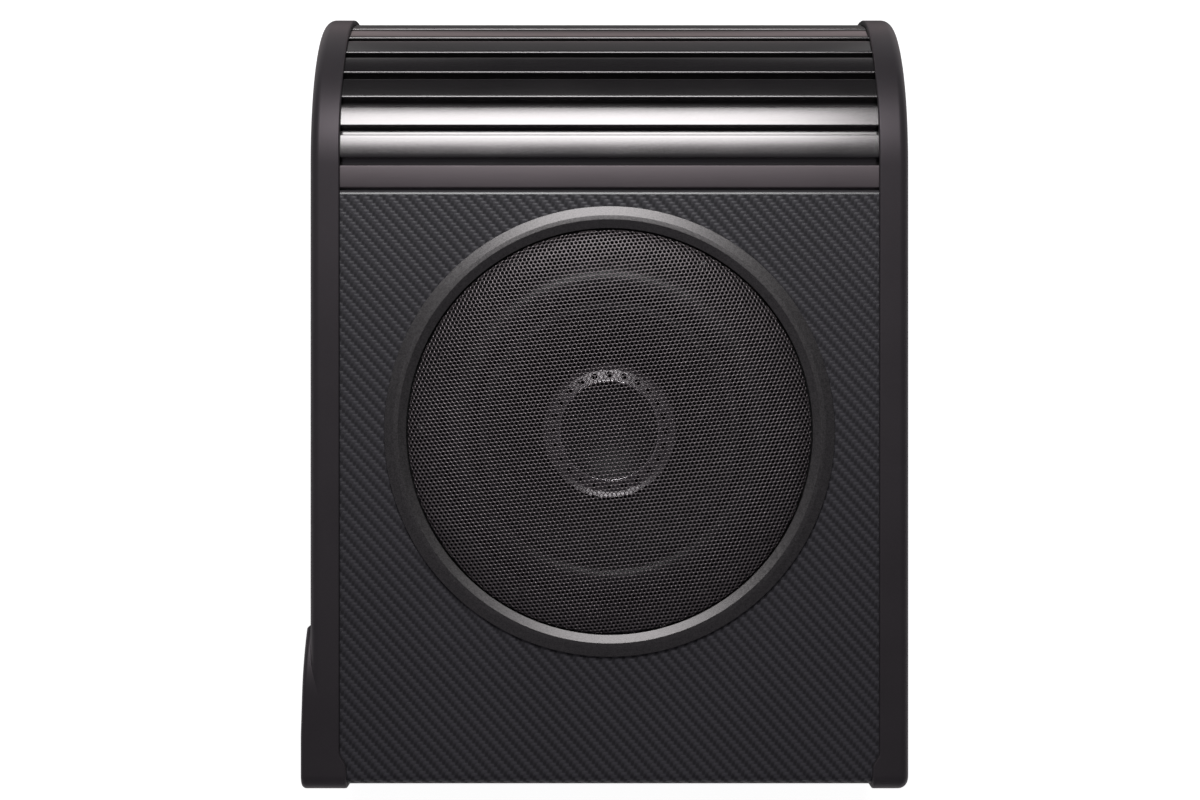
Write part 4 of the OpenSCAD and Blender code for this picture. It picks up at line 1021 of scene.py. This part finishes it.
def mesh_quarter(name, side, end):
    """A quarter of the domed sheet, with a round hole in every cell of a hexagonal lattice."""
    corner = HOLE_PITCH / math.sqrt(3)
    limit = MESH_R - CLEAR
    c, s = math.cos(HOLE_TILT), math.sin(HOLE_TILT)
    shell = Shell()
    verts, faces = shell.verts, shell.faces
    corners = {}
    borders = set()

    def place(x, y):
        """The upper and the lower point of the sheet over a point of the flat lattice."""
        r = math.hypot(x, y)
        if r > limit:
            x, y, r = x * limit / r, y * limit / r, limit
        out, up = dome_normal(r)
        away = Vector((x * c - y * s, x * s + y * c, 0))
        top = DRIVER + away + Vector((0, 0, dome_z(r)))
        low = top - SHEET_T * (away.normalized() * out + Vector((0, 0, up)))
        verts.extend((tuple(top), tuple(low)))
        return len(verts) - 2

    def facet(*tops):
        faces.append(tops)
        faces.append(tuple(i + 1 for i in reversed(tops)))

    rows = int(MESH_R / (HOLE_PITCH * math.sqrt(3) / 2)) + 2
    columns = int(MESH_R / HOLE_PITCH) + 2
    for j in range(-rows, rows + 1):
        cy = j * HOLE_PITCH * math.sqrt(3) / 2
        for i in range(-columns, columns + 1):
            cx = (i + 0.5 * (j % 2)) * HOLE_PITCH
            if math.hypot(cx, cy) > MESH_R or (cx < 0) == (side > 0) or (cy < 0) == (end > 0):
                continue
            rim = []
            hole = []
            for k in range(12):
                a = math.radians(30 * (k + 1))
                hole.append(place(cx + HOLE_R * math.cos(a), cy + HOLE_R * math.sin(a)))
                if k % 2:
                    continue
                x, y = cx + corner * math.cos(a), cy + corner * math.sin(a)
                key = (round(x / (HOLE_PITCH / 4)), round(y / (corner / 4)))
                if key not in corners:
                    corners[key] = place(x, y)
                rim.append(corners[key])
            for k in range(6):
                m = (k + 1) % 6
                middle = hole[2 * k + 1]
                facet(rim[k], middle, hole[2 * k])
                facet(rim[k], rim[m], middle)
                facet(rim[m], hole[2 * m], middle)
                borders ^= {frozenset((rim[k], rim[m]))}
            for k in range(12):
                m = (k + 1) % 12
                faces.append((hole[k], hole[m], hole[m] + 1, hole[k] + 1))
    for a, b in sorted(sorted(border) for border in borders):
        first = len(verts)
        verts += [verts[a], verts[b], verts[b + 1], verts[a + 1]]
        faces.append(tuple(range(first, first + 4)))
    piece(name, shell, "mesh", "grille_mesh", smooth=120, outward=False)


def cap_ring():
    """Plated ring round the dust cap: a bead, a sloping band of vents with rivets, and a raised lip."""
    low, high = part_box("dust_cap_ring")
    r0 = CAP_R + CLEAR
    r1 = (high[0] - low[0]) / 2
    band_in = r0 + BEAD_W
    band_out = r1 - CAP_LIP
    bead_h = high[2] - low[2] - BAND_HIGH
    pin = RIVET_R / 10
    rivet = [(pin, 0.0), (pin, RIVET_R), (RIVET_R * 0.7, RIVET_R * 0.7), (RIVET_R, 0.0)]
    centre = Vector((DRIVER.x, DRIVER.y, low[2]))
    shell = Shell()
    beads = Shell()

    def top_z(r):
        return BAND_HIGH + (BAND_LOW - BAND_HIGH) * (r - band_in) / (band_out - band_in)

    def under_z(r):
        return (r1 - r) / (r1 - r0) * MM

    def spot(r, a, height):
        return tuple(centre + Vector((r * math.cos(a), r * math.sin(a), height(r))))

    def sweep(r, a0, a1, height):
        return [spot(r, a0 + (a1 - a0) * i / 4, height) for i in range(5)]

    def vent(a, height):
        points = []
        for x, y in circle((band_in + band_out) / 2, 0, VENT_R, 16):
            points.append(spot(math.hypot(x, y), a + math.atan2(y, x), height))
        return points

    step = math.tau / VENT_COUNT
    for i in range(VENT_COUNT):
        a = i * step
        edges = []
        vents = []
        for height in (top_z, under_z):
            edge = shell.loop(sweep(band_in, a - step / 2, a + step / 2, height)
                              + sweep(band_out, a + step / 2, a - step / 2, height))
            hole = shell.loop(vent(a, height))
            shell.fill(edge, hole)
            edges.append(edge)
            vents.append(hole)
        shell.bridge(*edges)
        shell.bridge(*vents)
        beads.take(lathe(rivet, 8, spot(band_out, a, top_z)))
    middle = r0 + BEAD_W / 2
    bead = [(r0, under_z(r0))]
    for k in range(11):
        a = math.pi * k / 10
        bead.append((middle - BEAD_W / 2 * math.cos(a), BAND_HIGH + bead_h * math.sin(a)))
    bead.append((band_in, under_z(band_in)))
    lip = [(band_out, under_z(band_out)), (band_out, BAND_LOW), (r1 - CLEAR, CAP_LIP_H),
           (r1, CAP_LIP_H - CLEAR), (r1, 0.0)]
    shell.take(lathe(lip, TURN_STEPS // 2, centre))
    beads.take(lathe(bead, TURN_STEPS // 2, centre))
    for name, mesh, look in (("cap_bezel", shell, "cap_ring"), ("cap_beads", beads, "cap_bead")):
        piece(name, mesh, look, "dust_cap_ring", "cone_assembly", smooth=40)


def screws(name, node, look, places, axis, size, sunk=False):
    """Cross-recess screws: each place is the point under the head, or on the face of a sunk head."""
    head_r, head_h, shank_r, length = size
    turn = Vector((0, 0, 1)).rotation_difference(Vector(axis)).to_matrix()
    shell = Shell()
    if sunk:
        profile = [(shank_r, -length), (shank_r, -head_h), (head_r, 0.0)]
    else:
        profile = [(shank_r, -length), (shank_r, 0), (head_r, 0)]
        profile += [(head_r * out, head_h * up) for out, up in CROWN]
    top_r, top = profile[-1]
    wide = top_r * RECESS_W
    long = top_r * RECESS_L
    deep = top - max(RECESS_LEAST, RECESS_DEEP * head_h)
    cross = [(wide, wide), (long, wide), (long, -wide)]
    for i in range(9):
        x, y = cross[-3]
        cross.append((y, -x))
    bottom = [(x * RECESS_TAPER, y * RECESS_TAPER) for x, y in cross]

    def ring(place, points, h):
        return [tuple(turn @ Vector((x, y, h)) + Vector(place)) for x, y in points]

    for place in places:
        rings = shell.stack([ring(place, circle(0, 0, r), h) for r, h in profile])
        shell.fill(rings[0])
        walls = shell.stack([ring(place, cross, top), ring(place, bottom, deep)])
        shell.fill(rings[-1], walls[0])
        shell.fill(walls[1])
    piece(name, shell, look, node)


def all_screws():
    for side, tag in SIDES.items():
        out = (side, 0, 0)
        places = [(side * CHEEK_X, y, z) for y, z in CHEEK_BOLTS]
        screws(f"cheek_screws_{tag}", "cheek_screws", "black_screw", places, out, CHEEK_SCREW, sunk=True)
        places = [(side * PLATE_X, y, z) for y, z in PLATE_BOLTS]
        screws(f"plate_screws_{tag}", "end_plate_screws", "screw", places, out, PLATE_SCREW)
    places = [(-STRIP_FACE, PANE_Y + i * STRIP_STEP, ROW_LOW) for i in (-1, 0, 1)]
    screws("strip_screws", "terminal_screws", "screw", places, (-1, 0, 0), STRIP_SCREW)
    ring = [math.radians(60 * i) for i in range(6)]
    places = [(DRIVER.x + BOLT_R * math.cos(a), DRIVER.y + BOLT_R * math.sin(a), TRIM_TOP) for a in ring]
    screws("frame_screws", "driver_screws", "black_screw", places, (0, 0, 1), FRAME_SCREW)


def wedges(node, look, profile):
    """A turned part in wedges, in place of its CAD node."""
    sweep = math.tau / WEDGES
    for i in range(WEDGES):
        wedge = lathe(profile, 6, DRIVER, i * sweep, sweep)
        obj = piece(f"{node}_{i + 1}", wedge, look, body=None, smooth=40)
        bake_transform(obj)
        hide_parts(node)


def surround():
    """Half roll between the frame and the cone, with a flat rim on each."""
    middle = CONE_R + ROLL_W / 2
    outer = CONE_R + ROLL_W
    r = ((ROLL_W / 2) ** 2 + ROLL_H ** 2) / (2 * ROLL_H)
    low = ROLL_T + ROLL_H - r
    profile = [(outer + ROLL_RIM, 0), (outer + ROLL_RIM, ROLL_T)]
    profile += roll(middle, low, r, ROLL_T, 2 * ROLL_T)
    profile += [(CONE_R - ROLL_FOOT, 2 * ROLL_T), (CONE_R - ROLL_FOOT, ROLL_T)]
    profile += reversed(roll(middle, low, r - ROLL_T, 0, ROLL_T))
    profile = [(x, z + FLANGE_TOP) for x, z in profile]
    wedges("surround", "rubber", profile)


def roll(middle, low, r, z0, z1):
    """Arc of the surround's half roll from height z0 on the frame side to z1 on the cone side."""
    a0 = math.acos((z0 - low) / r)
    a1 = -math.acos((z1 - low) / r)
    return arc(middle, low, r, a0, a1, 20)


def spider():
    """Waved sheet between the coil and a landing in the basket."""
    steps = SPIDER_WAVES * 8
    base = LANDING_Z + CLEAR
    rows = []
    for i in range(steps + 1):
        share = i / steps
        rise = SPIDER_H * (1 - math.cos(math.tau * SPIDER_WAVES * share))
        rows.append((COIL_R + (SPIDER_OUT - COIL_R) * share, base + rise))
    rows.append((SPIDER_RIM, base))
    profile = [(r, z + SPIDER_T) for r, z in rows] + [(r, z) for r, z in reversed(rows)]
    wedges("spider", "spider", profile)


def tinsel_leads():
    """Two bowed leads from the frame's terminals up to the cone."""
    y0, z0 = LEAD_LOW
    y1, z1 = LEAD_HIGH
    steps = 24
    for side, tag in SIDES.items():
        x = side * LEAD_X
        shell = Shell()
        loops = []
        for i in range(steps + 1):
            t = i / steps
            ease = t * t * (3 - 2 * t)
            y = y0 + (y1 - y0) * ease * ease + LEAD_BOW * math.sin(math.pi * t)
            z = z0 + (z1 - z0) * t
            turns = [math.tau * k / 10 for k in range(10)]
            loops.append([(x + LEAD_R * math.cos(a), y + LEAD_R * math.sin(a), z) for a in turns])
        rings = shell.stack(loops)
        shell.fill(rings[0])
        shell.fill(rings[-1])
        obj = piece(f"tinsel_lead_{tag}", shell, "tinned", body=None)
        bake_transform(obj)
        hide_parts("tinsel_leads")


def panel_marks():
    """Scale ticks round the knobs, pointer lines on them, and coloured rings on two jacks."""
    controls = {-1: "gain_control", 0: "crossover_control", 1: "bass_boost_control"}
    ticks = Shell()
    for column in controls:
        for i in range(TICK_COUNT):
            points = mark(column, TICK_FIRST_DEG + TICK_STEP_DEG * i, *TICK)
            ticks.take(extrude_x(points, PLATE_X - TICK_SUNK, PLATE_X + TICK_PROUD))
    piece("dial_ticks", ticks, "marks", smooth=20)
    top = PLATE_X + KNOB_TOP
    for column, body in controls.items():
        line = extrude_x(mark(column, 0, *POINTER), top - POINTER_LOW, top - POINTER_TOP)
        piece(f"{body}_pointer", line, "marks", body=body, smooth=20)
    inner = JACK_FACE - JACK_DEEP
    outer = JACK_FACE + JACK_PROUD
    for column, look in ((-1, "white_ring"), (0, "red_ring")):
        shell = Shell()
        rings = [(inner, JACK_R), (outer, JACK_R), (outer, JACK_BORE), (inner, JACK_BORE)]
        loops = [at_x(x, circle(PANE_Y + column * COLUMN, ROW_LOW, r)) for x, r in rings]
        shell.stack(loops + loops[:1])
        piece(f"jack_{look}", shell, look, smooth=30)


def mark(column, degrees, start, end, half):
    """Outline of a line from a knob's axis outwards, at an angle from +Z."""
    a = math.radians(degrees)
    axis = Vector((PANE_Y + column * COLUMN, ROW_MID))
    out = Vector((math.sin(a), math.cos(a)))
    aside = Vector((math.cos(a), -math.sin(a))) * half
    low = axis + out * start
    high = axis + out * end
    return [tuple(corner) for corner in (low + aside, high + aside, high - aside, low - aside)]


# Studio
def floor():
    """White paper under the cabinet, which still takes its shadow.

    The camera sees it glow. Mirrored, it glows in a warm pool beyond the heat sink, and at the sides:
    a painted reflection, kept dark next to the cabinet as painted shadow. Its paper colour is also
    darker next to the cabinet, as painted shade.
    """
    half = FLOOR_HALF
    corners = [(-half, -half, 0), (half, -half, 0), (half, half, 0), (-half, half, 0)]
    mesh = bpy.data.meshes.new("studio_floor")
    mesh.from_pydata(corners, [], [(0, 1, 2, 3)])
    obj = link("studio_floor", mesh)
    g = Paint("floor_paper")
    x, y = g.add("ShaderNodeSeparateXYZ", Vector=g.coords).outputs[:2]
    across = g.math("MULTIPLY", x, 1 / POOL_WIDE)
    reach = g.math("ADD", g.math("MULTIPLY", across, across), g.math("MULTIPLY", y, y))
    reach = g.math("SQRT", reach)
    below = g.math("SUBTRACT", g.math("MULTIPLY", y, -1), SIDE_SHIFT)
    aside = g.math("MAXIMUM", g.math("ABSOLUTE", x), below)
    path = g.add("ShaderNodeLightPath").outputs
    mirrored = g.math("MAXIMUM", path["Is Glossy Ray"], path["Is Transmission Ray"])
    # Painted reflection: a warm pool and side glow seen only in mirrors, dark next to the cabinet as
    # painted shadow
    lit = g.vector("MAXIMUM", g.shade(reach, POOL_TINT, POOL_STOPS), g.shade(aside, WHITE, SIDE_STOPS))
    seen = g.math("MULTIPLY", path["Is Camera Ray"], PAPER)
    # Painted shade: the paper's colour is darker next to the cabinet
    paper = g.math("MAXIMUM", g.shade(reach, WHITE, PAPER_SHADE_STOPS), seen)
    surface = g.add("ShaderNodeEmission", Strength=g.math("MULTIPLY", path["Is Camera Ray"], FLOOR_GLOW))
    mirror = g.add("ShaderNodeEmission", Color=lit, Strength=g.math("MULTIPLY", mirrored, FLOOR_GLOW))
    for shader in (mirror, g.add("ShaderNodeBsdfDiffuse", Color=paper)):
        both = g.add("ShaderNodeAddShader")
        g.show("Material Output", both, surface, shader)
        surface = both
    g.tree.nodes.remove(g.shader)
    mesh.materials.append(g.material)


def studio():
    """White to the camera. The object sees a dim room, brighter on the left and at the toe."""
    world = bpy.data.worlds.new("studio_room")
    bpy.context.scene.world = world
    g = Graph(world, "Generated")
    up = g.add("ShaderNodeSeparateXYZ", Vector=g.coords).outputs["Z"]
    height = g.spread(up, 0.0, 1.0, -1.0, 1.0)
    lean = g.vector("DOT_PRODUCT", g.coords, ROOM_LEAN, "Value")
    room = g.tree.nodes["Background"]
    g.fill(room, {"Color": g.shade(height, ROOM_TINT, ROOM_STOPS), "Strength": g.math("ADD", lean, 1.0)})
    white = g.add("ShaderNodeBackground", Color=(*WHITE, 1.0))
    path = g.add("ShaderNodeLightPath")
    choose = g.add("ShaderNodeMixShader", Fac=path.outputs["Is Camera Ray"])
    g.show("World Output", choose, room, white)


def lamps():
    """A soft box over the heat sink, a dim panel beyond the toe, and low strips for the sides alone."""
    soft_box("top_box", SOFT_AT, SOFT_AIM, SOFT_SIZE, SOFT_RADIANCE)
    panel = soft_box("toe_panel", PANEL_AT, SOFT_AIM, PANEL_SIZE, PANEL_RADIANCE)
    panel.visible_camera = False
    middle = FILL_SIZE[1] / 2
    places = {"left": (-FILL_REACH, 0), "right": (FILL_REACH, 0), "toe": (0, -FILL_REACH)}
    for side, (x, y) in places.items():
        box = soft_box(f"{side}_box", (x, y, middle), (0, 0, middle), FILL_SIZE, FILL_RADIANCE)
        box.visible_camera = False
        box.visible_glossy = False


def soft_box(name, at, target, size, radiance):
    light = bpy.data.lights.new(name, "AREA")
    light.shape = "RECTANGLE"
    light.size, light.size_y = size
    light.energy = radiance * size[0] * size[1] * math.pi
    obj = link(name, light)
    obj.location = at
    direction = Vector(target) - Vector(at)
    obj.rotation_euler = direction.to_track_quat("-Z", "Y").to_euler()
    return obj


def camera():
    data = bpy.data.cameras.new("photo_camera")
    data.lens = CAMERA_LENS
    data.sensor_width = CAMERA_SENSOR
    data.clip_start = CAMERA_NEAR
    obj = link("photo_camera", data)
    obj.location = CAMERA_AT
    bpy.context.scene.camera = obj


bpy.context.scene.view_settings.view_transform = "Standard"
camera()
dress_nodes()
vinyl_skin()
heat_sink()
label_strip()
grille_ring()
grille_mesh()
cap_ring()
cheek(-1)
cheek(1)
all_screws()
surround()
spider()
tinsel_leads()
panel_marks()
floor()
studio()
lamps()
